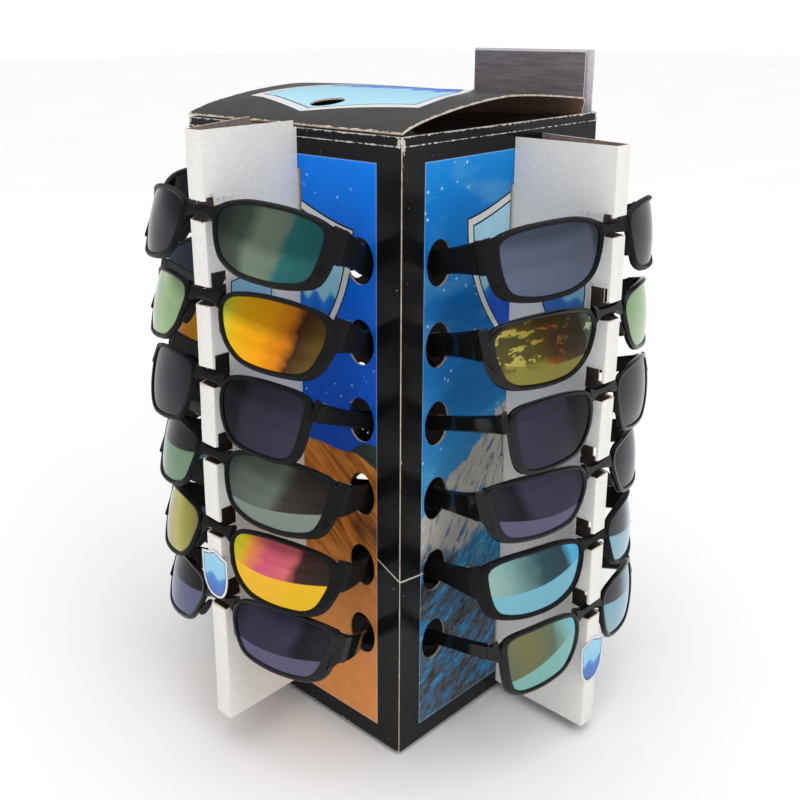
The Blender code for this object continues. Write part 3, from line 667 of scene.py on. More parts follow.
# frame shapes, in millimetres from the bridge's centre: lens outline (across, up), rim widths above,
# below, beside the nose and beside the temple, half width and wrap of the front, and heights of the
# end piece and temple
SHAPES = {
    "sport": {"lens": [(14.2, -4.0), (16.5, 3.0), (32.0, 7.2), (53.0, 8.2), (63.5, 7.0), (68.0, 3.0),
                       (67.5, -10.0),
                       (63.5, -20.5), (51.0, -24.8), (33.0, -24.6), (20.5, -19.0)],
              "rim": (2.8, 2.6, 2.6, 4.4), "half": 74.0, "wrap": 27.3, "square": 3.2, "bulge": 0.9,
              "end": (17.0, 8.6), "hinge": (9.0, 8.1), "temple": (6.4, 6.8), "thick": 3.6},
    "wrap": {"lens": [(15.5, -4.0), (19.5, 2.4), (35.0, 5.6), (53.0, 6.6), (64.0, 5.4), (68.6, 1.0),
                      (68.6, -8.0),
                      (65.0, -19.5), (59.0, -24.6), (45.0, -26.4), (31.0, -25.0), (21.0, -17.5)],
             "rim": (2.6, 2.4, 2.6, 4.0), "half": 74.0, "wrap": 27.3, "square": 3.2, "bulge": 0.6,
             "end": (15.0, 7.6), "hinge": (8.6, 7.6), "temple": (6.2, 6.4), "thick": 3.6},
    "angular": {"lens": [(15.0, -3.5), (18.5, 3.4), (34.0, 6.8), (51.0, 8.0), (64.5, 7.2), (67.5, 4.0),
                         (65.0, -13.5),
                         (59.5, -21.0), (43.0, -23.0), (26.0, -21.0), (18.5, -12.5)],
                "rim": (2.6, 2.4, 2.6, 4.4), "half": 73.5, "wrap": 26.6, "square": 3.2, "bulge": 0.35,
                "end": (13.0, 8.2), "hinge": (8.0, 7.6), "temple": (6.0, 6.2), "thick": 3.6},
    "square": {"lens": [(14.0, -6.0), (17.0, 1.6), (32.0, 4.8), (49.0, 5.4), (58.5, 4.6), (61.8, 0.5),
                        (61.0, -14.0),
                        (58.0, -24.0), (52.0, -28.2), (37.0, -28.8), (23.5, -26.4), (16.8, -17.5)],
               "rim": (2.5, 2.2, 2.5, 3.6), "half": 69.0, "wrap": 16.0, "square": 3.0, "bulge": 0.3,
               "end": (5.4, 6.6), "hinge": (4.8, 5.0), "temple": (4.1, 4.3), "thick": 3.4},
}
MM = 0.001
OUTLINE_TENSION = 0.41
LENS_OVERSIZE = 1.004


def front_depth(shape, across, up):
    """How far behind the bridge the front's face lies, in metres, at a place on it."""
    part = min(abs(across) / (shape["half"] * MM), 1.0)
    return shape["wrap"] * MM * part ** shape["square"] - PANTO * up + (up + 0.008) ** 2 / 0.16


def smooth_outline(points, count=60):
    """A closed smooth curve through a shape's corner points, evenly sampled."""
    n = len(points)
    dense = []
    for i in range(n):
        p0, p1, p2, p3 = (Vector(points[(i + k) % n]) for k in (-1, 0, 1, 2))
        for step in range(16):
            t = step / 16
            away, toward = (p2 - p0) * OUTLINE_TENSION, (p3 - p1) * OUTLINE_TENSION
            dense.append(p1 + away * t + (3 * (p2 - p1) - 2 * away - toward) * t * t
                         + (2 * (p1 - p2) + away + toward) * t ** 3)
    lengths = [0.0]
    for a, b in zip(dense, dense[1:] + dense[:1]):
        lengths.append(lengths[-1] + (b - a).length)
    result = []
    k = 0
    for i in range(count):
        target = lengths[-1] * i / count
        while lengths[k + 1] < target:
            k += 1
        part = (target - lengths[k]) / max(lengths[k + 1] - lengths[k], 1e-9)
        result.append(dense[k].lerp(dense[(k + 1) % len(dense)], part))
    return result


def front_vertex(bm, shape, sign, place, depth):
    """A vertex at a place on a front and a depth behind its face, both in millimetres."""
    across, up = place.x * MM, place.y * MM
    return bm.verts.new((sign * across, front_depth(shape, across, up) + depth * MM, up))


def outline_normals(points):
    n = len(points)
    normals = []
    for i in range(n):
        along = points[(i + 1) % n] - points[i - 1]
        normals.append(Vector((along.y, -along.x)).normalized())
    area = sum(points[i - 1].x * points[i].y - points[i].x * points[i - 1].y for i in range(n))
    return normals if area > 0 else [-normal for normal in normals]


def rim_bmesh(shape, sign):
    """One rim, a closed ring of rounded section round its lens."""
    inner = smooth_outline(shape["lens"])
    normals = outline_normals(inner)
    above, below, nose, temple = shape["rim"]
    section = [(0.0, 0.5), (0.10, 0.0), (0.5, -shape["bulge"]), (0.90, 0.1), (1.0, 0.8), (1.0, 2.7),
               (0.5, 3.1), (0.0, 2.7)]
    bm = bmesh.new()
    rings = []
    for point, normal in zip(inner, normals):
        width = (above * max(normal.y, 0) ** 2 + below * max(-normal.y, 0) ** 2
                 + temple * max(normal.x, 0) ** 2 + nose * max(-normal.x, 0) ** 2)
        rings.append([front_vertex(bm, shape, sign, point + normal * width * part, depth)
                      for part, depth in section])
    skin(bm, rings + rings[:1], closed=True, swapped=True)
    bmesh.ops.recalc_face_normals(bm, faces=bm.faces)
    return bm


def lens_bmesh(shape, sign):
    """A thin curved lens that fills its rim."""
    outline = smooth_outline(shape["lens"])
    centre = sum(outline, Vector((0, 0))) / len(outline)
    bm = bmesh.new()
    layers = []
    for depth in (0.9, 2.3):
        middle = front_vertex(bm, shape, sign, centre, depth)
        parts = [k / 8 * LENS_OVERSIZE for k in range(1, 9)]
        rings = [[front_vertex(bm, shape, sign, centre.lerp(point, part), depth) for point in outline]
                 for part in parts]
        n = len(outline)
        for i in range(n):
            bm.faces.new((middle, rings[0][i], rings[0][(i + 1) % n]))
        skin(bm, rings, closed=True)
        layers.append(rings[-1])
    skin(bm, layers, closed=True)
    bmesh.ops.recalc_face_normals(bm, faces=bm.faces)
    return bm


def loft_bmesh(stations, corner=0.30):
    """Sweeps a rounded box section along stations: (across, back, low, high, thickness), in metres."""
    bm = bmesh.new()
    sections = []
    last = len(stations) - 1
    for i, (u, y, low, high, thick) in enumerate(stations):
        before = stations[max(i - 1, 0)]
        after = stations[min(i + 1, last)]
        run = Vector((after[0] - before[0], after[1] - before[1]))
        run = run.normalized() if run.length > 0 else Vector((0, 1))
        inward = Vector((-run.y, run.x))
        middle = (low + high) / 2
        half = (high - low) / 2
        r = corner * min(thick, 2 * half)
        ring = []
        for side, level in ((0, half - r), (0, -half + r), (r, -half), (thick - r, -half),
                            (thick, -half + r), (thick, half - r), (thick - r, half), (r, half)):
            ring.append(bm.verts.new((u + inward.x * side, y + inward.y * side, middle + level)))
        sections.append(ring)
    close_rings(bm, sections)
    return bm


def mirror_bmesh(bm, sign):
    if sign < 0:
        bmesh.ops.scale(bm, vec=(-1, 1, 1), verts=bm.verts)
        bmesh.ops.reverse_faces(bm, faces=bm.faces)
    return bm


def temple_reach(side, which):
    spec = SIDES[side]
    distances = [abs(hole - spec["centre"]) * SIDE for hole in spec["holes"]]
    average = sum(distances) / 2
    return average + (distances[which] - average) / 2 + 0.0018


def end_piece(shape, sign):
    """The front's corner, from beside the lens round to the hinge."""
    half = shape["half"] * MM
    low_end, high_end = shape["end"]
    low_hinge, high_hinge = shape["hinge"]
    thick = shape["thick"] * MM
    stations = []
    first = 0.955
    for step in range(5):
        ease = step / 4
        part = first + (1.0 - first) * step / 4
        low = -(low_end + (low_hinge - low_end) * ease ** 1.3) * MM
        high = (high_end + (high_hinge - high_end) * ease) * MM
        u = half * part
        back = front_depth(shape, u, 0.0) - 0.0002
        stations.append((u, back, low, high, thick * (0.7 + 0.3 * ease)))
    back = front_depth(shape, half, 0.0)
    stations.append((half - 0.0002, back + 0.0045, -low_hinge * MM, high_hinge * MM, thick))
    return mirror_bmesh(loft_bmesh(stations), sign)


def temple(shape, side, which, sign):
    """A temple from its hinge, beside the fin, through its hole and on inside the column."""
    half = shape["half"] * MM
    low_hinge, high_hinge = (value * MM * 0.97 for value in shape["hinge"])
    low_arm, high_arm = (value * MM for value in shape["temple"])
    thick = shape["thick"] * MM
    reach = temple_reach(side, which)
    wall = FRONT_DEPTH / cos(side_pitch(side))
    strip = SIDES[side]["strip"]
    strip_low, strip_high = sorted((strip * 0.0035, strip * 0.0077))
    outer = half - 0.0003
    behind = front_depth(shape, half, 0.0) + 0.0050
    stations = [(outer, behind, -low_hinge, high_hinge, thick)]
    for part in (0.12, 0.28, 0.45, 0.62, 0.80, 1.0):
        ease = min(part ** 0.8 * 1.5, 1.0)
        stations.append((outer + (reach - half) * part ** 1.3, behind + (wall - behind) * part,
                         -low_hinge + (low_hinge - low_arm) * ease,
                         high_hinge + (high_arm - high_hinge) * ease, thick * (1 - 0.22 * part)))
    arm = thick * 0.76
    middle = (strip_low + strip_high) / 2
    # inside the column: how far in from the hole's side, how far past the wall, and the tip's taper
    for inset, beyond, low, high, part in (
            (0.0005, 0.007, -low_arm, high_arm, 1.0), (0.0010, 0.0145, strip_low, strip_high, 0.95),
            (0.0016, 0.030, strip_low, strip_high, 0.9), (0.0022, 0.052, strip_low, strip_high, 0.9),
            (0.0028, 0.070, middle - 0.0022, middle + 0.0022, 0.8),
            (0.0030, 0.0765, middle - 0.0010, middle + 0.0010, 0.5)):
        stations.append((reach - inset, wall + beyond, low, high, arm * part))
    return mirror_bmesh(loft_bmesh(stations, 0.34), sign)


def bridge(shape):
    stations = []
    for part in (-1.0, -0.8, -0.62, -0.4, -0.2, 0.0, 0.2, 0.4, 0.62, 0.8, 1.0):
        u = part * 0.0122
        tall = 0.0028 + 0.0022 * max(abs(part) - 0.55, 0.0) / 0.45
        back = front_depth(shape, abs(u), 0.0) + 0.0004
        stations.append((u, back, 0.0002 - tall, 0.0002 + tall * 0.95, 0.0036))
    return loft_bmesh(stations, 0.38)


def nose_pad(shape, sign):
    """A teardrop pad, fuller towards its foot, leaning out from beside the bridge."""
    bm = bmesh.new()
    rings = []
    for k in range(11):
        part = 0.02 + 0.96 * k / 10
        size = sin(pi * part) ** 0.6 * (0.80 + 0.35 * part)
        ring = []
        for i in range(14):
            turn = 2 * pi * i / 14
            ring.append(bm.verts.new((0.0016 * size * cos(turn), 0.0029 * size * sin(turn) + 0.0007 * part,
                                      0.0058 * cos(pi * part))))
        rings.append(ring)
    close_rings(bm, rings)
    up = -0.0115
    across = 0.0142
    bm.transform(Matrix.Translation((across * sign, front_depth(shape, across, up) + 0.0040, up))
                 @ Matrix.Rotation(radians(24 * -sign), 4, "Y"))
    return bm


def screw_head(shape, sign):
    """A small domed hinge screw with a sunk drive recess, on top of the end piece."""
    bm = bmesh.new()
    half = shape["half"] * MM
    rings = []
    for radius, level in ((1.10, -0.25), (1.10, 0.02), (1.02, 0.14), (0.82, 0.24), (0.52, 0.28),
                          (0.44, 0.06)):
        ring = []
        for i in range(16):
            turn = 2 * pi * i / 16
            grip = radius * (1.0 - (0.16 if radius < 0.6 and i % 4 == 2 else 0.0))
            ring.append(bm.verts.new((grip * MM * cos(turn), grip * MM * sin(turn), level * MM)))
        rings.append(ring)
    close_rings(bm, rings)
    bm.transform(Matrix.Translation((sign * (half - 0.0022), front_depth(shape, half, 0.0) + 0.0036,
                                     shape["hinge"][1] * MM + 0.00005)))
    return bm


def join_bmesh(parts):
    """One bmesh made of several, which it frees."""
    joined = bmesh.new()
    for part in parts:
        mesh = bpy.data.meshes.new("part")
        part.to_mesh(mesh)
        part.free()
        joined.from_mesh(mesh)
        bpy.data.meshes.remove(mesh)
    return joined


def build_glasses(side, row, frames, lenses, steel):
    spec = SIDES[side]
    kind, finish, near_lens, far_lens = PAIRS[side][row].split()
    shape = SHAPES[kind]
    body = "glasses_%s_%d" % (side, row + 1)
    tag = "%s_%d" % (side, row + 1)
    low_is_near = side in ("right", "back_left")
    place = (side_rotation(side)
             @ Matrix.Translation((spec["centre"] * SIDE, -HALF - FRONT_DEPTH,
                                   row_heights(side)[row] + bridge_rise(side)))
             @ Matrix.Rotation(-side_pitch(side), 4, "X"))
    plastic = frames[finish]
    made = []
    front = join_bmesh([rim_bmesh(shape, -1), rim_bmesh(shape, 1), bridge(shape), end_piece(shape, -1),
                        end_piece(shape, 1)])
    made.append(new_object("front_" + tag, front, [plastic]))
    for which, sign in ((0, -1), (1, 1)):
        is_near = (sign < 0) == low_is_near
        name = "near" if is_near else "far"
        made.append(new_object("lens_%s_%s" % (name, tag), lens_bmesh(shape, sign),
                               [lenses[near_lens if is_near else far_lens]]))
        made.append(new_object("temple_%s_%s" % (name, tag), temple(shape, side, which, sign), [plastic]))
        made.append(new_object("nose_pad_%s_%s" % (name, tag), nose_pad(shape, sign), [plastic]))
        made.append(new_object("hinge_screw_%s_%s" % (name, tag), screw_head(shape, sign), [steel]))
    for obj in made:
        obj.matrix_world = place
        shade_by_angle(obj, radians(40))
        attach(obj, body)
    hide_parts(body)


# ---------------------------------------------------------------- carton pieces
def hole_cutter():
    """The oval holes of all four sides."""
    bm = bmesh.new()
    for side, spec in SIDES.items():
        for along in spec["holes"]:
            for height in row_heights(side):
                matrix = (side_rotation(side) @ Matrix.Translation((along * SIDE, -HALF, height))
                          @ Matrix.Rotation(pi / 2, 4, "X")
                          @ Matrix.Diagonal((HOLE_HALF_WIDTH, HOLE_HALF_HEIGHT, 1.0, 1.0)))
                bmesh.ops.create_cone(bm, cap_ends=True, segments=40, radius1=1.0, radius2=1.0,
                                      depth=0.010, matrix=matrix)
    return new_object("holes", bm, [], smooth=False)


def slot_cutter():
    """The slots that the fins' tabs go through, on all four sides."""
    bm = bmesh.new()
    half_width, deep, tall = 0.0022, 0.005, TAB_LENGTH / 2
    for side, spec in SIDES.items():
        for along in spec["roots"]:
            for height in tab_centres(side):
                add_box(bm, (along * SIDE - half_width, -HALF - deep, height - tall - 0.0005),
                        (along * SIDE + half_width, -HALF + deep, height + tall + 0.0005),
                        side_rotation(side))
    return new_object("slots", bm, [], smooth=False)


def build_sleeve(stone, peak, inner, cut_edge):
    """The carton column with softly rounded upright folds and clean cut holes."""
    bm = bmesh.new()
    add_box(bm, (-HALF, -HALF, FOOT), (HALF, HALF, TOP))
    upright = [edge for edge in bm.edges if abs(edge.verts[0].co.z - edge.verts[1].co.z) > 0.1]
    bmesh.ops.bevel(bm, geom=upright, offset=0.0009, segments=3, affect="EDGES")
    sleeve = new_object("carton_column", bm, [stone, peak, inner, cut_edge], smooth=False)
    bm = bmesh.new()
    inside = HALF - BOARD
    add_box(bm, (-inside, -inside, 0.0), (inside, inside, TOP + 0.01))
    cutters = [new_object("hollow", bm, [], smooth=False), hole_cutter(), slot_cutter()]
    for cutter in cutters:
        cut(sleeve, cutter)
    apply_modifiers(sleeve)
    for cutter in cutters:
        drop(cutter)
    for face in sleeve.data.polygons:
        centre = face.center
        outermost = max(abs(centre.x), abs(centre.y))
        is_wall = abs(face.normal.z) < 0.5
        if outermost > HALF - 0.0006 and is_wall:
            face.material_index = 0 if abs(centre.x) > abs(centre.y) else 1
        elif outermost < inside + 0.0001 and is_wall:
            face.material_index = 2
        else:
            face.material_index = 3
    shade_by_angle(sleeve)
    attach(sleeve, "column")
    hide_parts("column_sleeve")


def tab_centres(side):
    low, high = SIDES[side]["fin_z"]
    span = (high - low) * SIDE
    return [FOOT + low * SIDE + span * part for part in (0.12, 0.5, 0.88)]


def build_lid(top, under, edge):
    """The arched lid, replaced with a finer sheet that has a printed top and a bare underside."""
    base = TOP + LID_REST
    start = -HALF + 0.0002
    end = LID_END
    width = end - start
    profile = []
    for i in range(41):
        part = i / 40
        profile.append((start + width * part, base + lid_rise(start + width * part), HALF - 0.0002))
    crest = profile[-1][1]
    # over the front edge and down into the carton, as the tuck flap
    profile += [(end + 0.0012, crest - 0.0009, HALF - 0.0003),
                (end + 0.0021, crest - 0.0027, HALF - 0.0005),
                (end + 0.0034, base + 0.0010, HALF - BOARD - 0.0012),
                (end + 0.0040, base - 0.0030, HALF - BOARD - 0.0020),
                (end + 0.0030, base - 0.0170, HALF - BOARD - 0.0020)]
    bm = bmesh.new()
    rows = []
    across = 30
    for x, z, reach in profile:
        row = []
        for k in range(across + 1):
            part = 2 * k / across - 1
            sag = 0.0006 * sin(3.1 * part + x * 40)
            row.append(bm.verts.new((x, reach * part, z - abs(sag) * min((x + HALF) / 0.03, 1.0))))
        rows.append(row)
    skin(bm, rows)
    lid = new_object("lid_sheet", bm, [top, under, edge])
    thicken(lid, 0.0009, even=True, inner=1, rim=2)
    bm = bmesh.new()
    bmesh.ops.create_cone(bm, cap_ends=True, segments=48, radius1=0.058 * SIDE, radius2=0.058 * SIDE,
                          depth=0.08,
                          matrix=Matrix.Translation((-0.292 * SIDE, 0.017 * SIDE, TOP)))
    hole = new_object("lid_hole", bm, [edge], smooth=False)
    cut(lid, hole)
    apply_modifiers(lid)
    drop(hole)
    shade_by_angle(lid, radians(50))
    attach(lid, "lid")
    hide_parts("lid")


def lid_rise(x):
    """How far the lid's arch stands above the carton's rim, at a distance along it."""
    part = min(max((x + HALF - 0.0002) / (LID_END + HALF), 0.0), 1.0)
    return LID_ARCH * sin(0.8 * pi * part ** 0.8)


def build_raised_flap(black):
    """The back left dust flap, bowed up from its crease until it nearly meets the arched lid."""
    low, high = (Vector(corner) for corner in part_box("dust_flap_back_left"))
    columns, rows = 30, 14
    bm = bmesh.new()
    grid = []
    for j in range(rows + 1):
        inward = j / rows
        y = high.y + (low.y - high.y) * inward
        inset = 0.30 * (high.y - low.y) * inward
        line = []
        for i in range(columns + 1):
            x = low.x + inset + (high.x - low.x - 2 * inset) * i / columns
            z = high.z + 0.70 * lid_rise(x) * sin(inward * pi / 2) + 0.0003 * sin(i * 0.9) * inward
            line.append(bm.verts.new((x, y, z)))
        grid.append(line)
    skin(bm, grid)
    flap = new_object("dust_flap_raised", bm, [black])
    thicken(flap, 0.0007)
    apply_modifiers(flap)
    shade_by_angle(flap)
    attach(flap, "dust_flap_back_left")
    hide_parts("dust_flap_back_left")


def fin_point(side, panel, depth, z):
    """A point on a fin's outer face: panel 0 or 1 for its side panels, depth out from the column."""
    spec = SIDES[side]
    root = spec["roots"][panel] * SIDE
    spine = spec["spine"][panel] * SIDE
    along = root + (spine - root) * depth / FIN_DEPTH
    return Vector((along, -HALF - depth, z))


def fin_sheet(side, materials):
    """A fin's card, folded from tab to spine to tab, with a faint bend along it."""
    spec = SIDES[side]
    low, high = (FOOT + part * SIDE for part in spec["fin_z"])
    near, far = [], []
    for panel, run in enumerate((near, far)):
        for depth in (-TAB_DEPTH, 0.0, 0.25 * FIN_DEPTH, 0.5 * FIN_DEPTH, 0.75 * FIN_DEPTH,
                      FIN_DEPTH - 0.0012):
            point = fin_point(side, panel, depth, 0.0)
            run.append((point.x, point.y))
    spine_y = -HALF - FIN_DEPTH
    left, right = (along * SIDE for along in spec["spine"])
    turn = [(left + 0.0003, spine_y + 0.0003), (left + 0.0012, spine_y), (right - 0.0012, spine_y),
            (right - 0.0003, spine_y + 0.0003)]
    points = near + turn + far[::-1]
    levels = 61
    bm = bmesh.new()
    rows = []
    for k in range(levels):
        z = low + (high - low) * k / (levels - 1)
        row = []
        for x, y in points:
            out = min(max((-HALF - y) / FIN_DEPTH, 0.0), 1.0)
            bend = 0.0007 * sin(z * 31 + spec["angle"]) * out
            row.append(bm.verts.new((x + bend, y, z)))
        rows.append(row)
    skin(bm, rows, swapped=True)
    fin = new_object("card_fin_" + side, bm, materials)
    thicken(fin, FIN_BOARD * 0.9, even=True, inner=1, rim=2)
    return fin


def fin_cutters(side, edge):
    """What is cut from a fin: bridge slits, the windows above them, and all of its root but its tabs."""
    slits, windows, roots, notch = (bmesh.new() for _ in range(4))
    spine_y = -HALF - FIN_DEPTH
    for row, height in enumerate(row_heights(side)):
        middle = height + bridge_rise(side)
        add_box(slits, (-HALF, spine_y - 0.005, middle - SLIT_BELOW),
                (HALF, -HALF - FRONT_DEPTH + BRIDGE_THICKNESS + 0.0010, middle + SLIT_ABOVE))
        reach, tall = (0.0066, 0.0062) if row == 0 else (0.0118, 0.0118)
        add_box(windows, (-HALF, spine_y + FIN_BOARD + 0.0007, middle),
                (HALF, spine_y + reach, middle + tall))
    centres = tab_centres(side)
    half = TAB_LENGTH / 2
    starts = [FOOT - 0.01] + [centre + half for centre in centres]
    ends = [centre - half for centre in centres] + [TOP + 0.03]
    for start, end in zip(starts, ends):
        add_box(roots, (-HALF + 0.01, -HALF - 0.0003, start), (HALF - 0.01, -HALF + 0.02, end))
    # a notch of its own above the carton's rim, where the open lid's edge passes
    add_box(notch, (-HALF + 0.005, -HALF - 0.0024, TOP + 0.0003), (HALF - 0.005, -HALF + 0.025, TOP + 0.04))
    return [new_object(name, source, [edge], smooth=False)
            for name, source in (("slits", slits), ("windows", windows), ("roots", roots),
                                 ("notch", notch))]


def build_fin(side, white, inside, edge):
    """A folded card channel with soft folds, slits and windows, ragged where the bridges tore it."""
    generator = random.Random(side)
    fin = fin_sheet(side, [white, inside, edge])
    cutters = fin_cutters(side, edge)
    for cutter in cutters:
        cut(fin, cutter)
    apply_modifiers(fin)
    for cutter in cutters:
        drop(cutter)
    fray(fin, side, generator)
    fin.data.transform(side_rotation(side))
    shade_by_angle(fin, radians(30))
    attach(fin, "column")
    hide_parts("fin_" + side)
    build_torn_bits(side, white, generator)


def fray(fin, side, generator):
    """Pulls the slits' edges a little out of line, as torn card is."""
    middles = [height + bridge_rise(side) for height in row_heights(side)]
    for vertex in fin.data.vertices:
        point = vertex.co
        for middle in middles:
            if abs(point.z - middle - SLIT_ABOVE) < 0.0002:
                point.z += generator.uniform(0.0, 0.0010)
            elif abs(point.z - middle + SLIT_BELOW) < 0.0002:
                point.z -= generator.uniform(0.0, 0.0010)


def build_torn_bits(side, white, generator):
    """Small curled shreds of white liner along the top edges of the slits, on both side panels."""
    bm = bmesh.new()
    for row, height in enumerate(row_heights(side)):
        middle = height + bridge_rise(side)
        reach, tall = (0.0070, 0.0066) if row == 0 else (0.0122, 0.0122)
        for panel, outward in ((0, -1), (1, 1)):
            depth = FIN_DEPTH - 0.020
            while depth < FIN_DEPTH - 0.0035:
                length = generator.uniform(0.0018, 0.0036)
                rise = generator.uniform(0.0008, 0.0024)
                lift = generator.uniform(0.0003, 0.0010)
                base = tall if depth > FIN_DEPTH - reach else SHRED_BASE
                corners = []
                for part, up, away in ((0.0, 0.0, 0.2), (1.0, generator.uniform(-0.2, 0.2), 0.2),
                                       (generator.uniform(0.5, 0.9), 1.0, 1.0),
                                       (generator.uniform(0.0, 0.4), 0.8, 0.8)):
                    point = fin_point(side, panel, depth + length * part, middle + base + rise * up)
                    point.x += outward * (0.0001 + lift * away)
                    corners.append(point)
                front = [bm.verts.new(point) for point in corners]
                back = [bm.verts.new(point + Vector((-outward * 0.00008, 0, 0))) for point in corners]
                bm.faces.new(front)
                bm.faces.new(back[::-1])
                for i in range(4):
                    bm.faces.new((front[i], back[i], back[(i + 1) % 4], front[(i + 1) % 4]))
                depth += length + generator.uniform(0.0004, 0.0016)
    bmesh.ops.recalc_face_normals(bm, faces=bm.faces)
    bm.transform(side_rotation(side))
    bits = new_object("torn_liner_" + side, bm, [white], smooth=False)
    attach(bits, "column")


def shield_outline(width, height):
    half = width / 2
    points = [(0.0, height * 0.50), (-half * 0.5, height * 0.415), (-half, height * 0.38)]
    count = 14
    for i in range(count + 1):
        part = i / count
        points.append((-half * cos(part * pi / 2) ** 0.8, height * (0.05 - 0.55 * sin(part * pi / 2))))
    mirrored = [(-x, y) for x, y in points[1:-1]]
    return points + mirrored[::-1]


def build_badge(name, node, width, height, matrix, materials):
    """A die-cut badge: pale border, dark line and a blue field inside it."""
    bm = bmesh.new()
    face = bm.faces.new([bm.verts.new((x, y, 0.0)) for x, y in shield_outline(width, height)])
    bm.normal_update()
    if face.normal.z < 0:
        bmesh.ops.reverse_faces(bm, faces=[face])
        bm.normal_update()
    for inset, slot in ((0.0021, 0), (0.0007, 1)):
        ring = bmesh.ops.inset_region(bm, faces=[face], thickness=inset * width / 0.032,
                                      use_even_offset=True,
                                       use_boundary=True)["faces"]
        for part in ring:
            part.material_index = slot
        face.material_index = 2
    badge = new_object(name, bm, materials, smooth=False)
    thicken(badge, 0.0003, offset=0.0)
    apply_modifiers(badge)
    badge.matrix_world = matrix
    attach(badge, "column")
    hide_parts(node)


def frame_matrix(x_axis, y_axis, z_axis, origin):
    matrix = Matrix((x_axis, y_axis, z_axis)).transposed().to_4x4()
    matrix.translation = origin
    return matrix


def build_badges(side, materials):
    spec = SIDES[side]
    low_near = side in ("right", "back_left")
    root = spec["roots"][0 if low_near else 1] * SIDE
    spine = spec["spine"][0 if low_near else 1] * SIDE
    sign = -1 if low_near else 1
    up = Vector((0.0, 0.0, 1.0))
    along = Vector((spine - root, -FIN_DEPTH, 0.0)).normalized()
    outward = Vector((along.y, -along.x, 0.0)) * -sign
    centre = Vector((root, -HALF, row_heights(side)[0] - 0.13
                     * SIDE)) + along * 0.21 * SIDE + outward * 0.0007
    matrix = side_rotation(side) @ frame_matrix(up.cross(outward), up, outward, centre)
    build_badge("badge_" + side, "fin_badge_" + side, 0.19 * SIDE, 0.23 * SIDE, matrix, materials)
    row, fall = spec["tag"]
    middle = (spec["spine"][0] + spec["spine"][1]) / 2 * SIDE
    centre = Vector((middle, -HALF - FIN_DEPTH - 0.0005, row_heights(side)[row] + bridge_rise(side) - fall))
    matrix = side_rotation(side) @ frame_matrix(Vector((1, 0, 0)), up, Vector((0, -1, 0)), centre)
    build_badge("tag_" + side, "spine_tag_" + side, 0.130 * SIDE, 0.175 * SIDE, matrix, materials)


def build_header_card(inner, outer, edge):
    """A card folded in two, bare side out, standing in the crease behind the tuck flap."""
    low, high = (Vector(corner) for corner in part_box("header_card"))
    high.z += HEADER_PROUD
    fold = 0.022 * SIDE
    near = low.x
    far = high.x
    open_near = -0.455 * SIDE
    open_far = -0.480 * SIDE
    path = [(near, open_near), (near, fold - 0.001), (near + 0.0003, fold), (far - 0.0003, fold + 0.0002),
            (far, fold - 0.0008), (far, open_far)]
    bm = bmesh.new()
    rows = []
    for k in range(9):
        z = low.z + (high.z - low.z) * k / 8
        rows.append([bm.verts.new((x, y, z)) for x, y in path])
    skin(bm, rows)
    card = new_object("header_card_sheet", bm, [inner, outer, edge])
    for face in card.data.polygons:
        if face.center.x > (near + far) / 2:
            face.material_index = 1
    thicken(card, HEADER_PLY, offset=1.0, rim=2)
    apply_modifiers(card)
    shade_by_angle(card)
    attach(card, "column")
    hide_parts("header_card")


# ---------------------------------------------------------------- camera, lights and stage
def set_camera():
    """A view onto the near corner from a little above, with the upright folds near the middle."""
    camera_data = bpy.data.cameras.new("camera")
    camera_data.sensor_width = 36.0
    camera_data.lens = 47.05
    camera_data.shift_x = 0.0725
    camera_data.shift_y = -0.0775
    camera_data.clip_start = 0.01
    camera = bpy.data.objects.new("camera", camera_data)
    bpy.context.scene.collection.objects.link(camera)
    yaw, pitch, roll = 0.7962, 0.3020, -0.0124
    forward = Vector((cos(yaw) * cos(pitch), sin(yaw) * cos(pitch), -sin(pitch)))
    right = Vector((sin(yaw), -cos(yaw), 0.0))
    up = right.cross(forward)
    across = right * cos(roll) + up * sin(roll)
    above = up * cos(roll) - right * sin(roll)
    place = Vector((-2.7019, -2.4986, 2.4021)) * SIDE + Vector((0, 0, FOOT))
    camera.matrix_world = frame_matrix(across, above, -forward, place)
    bpy.context.scene.camera = camera


def add_area(name, place, target, size, power, tint=(1.0, 1.0, 1.0)):
    light = bpy.data.lights.new(name, "AREA")
    light.shape = "RECTANGLE"
    light.size = size[0]
    light.size_y = size[1]
    light.energy = power
    light.color = tint
    obj = bpy.data.objects.new(name, light)
    bpy.context.scene.collection.objects.link(obj)
    obj.location = place
    obj.rotation_euler = (Vector(target) - Vector(place)).to_track_quat("-Z", "Y").to_euler()
    obj.visible_glossy = False


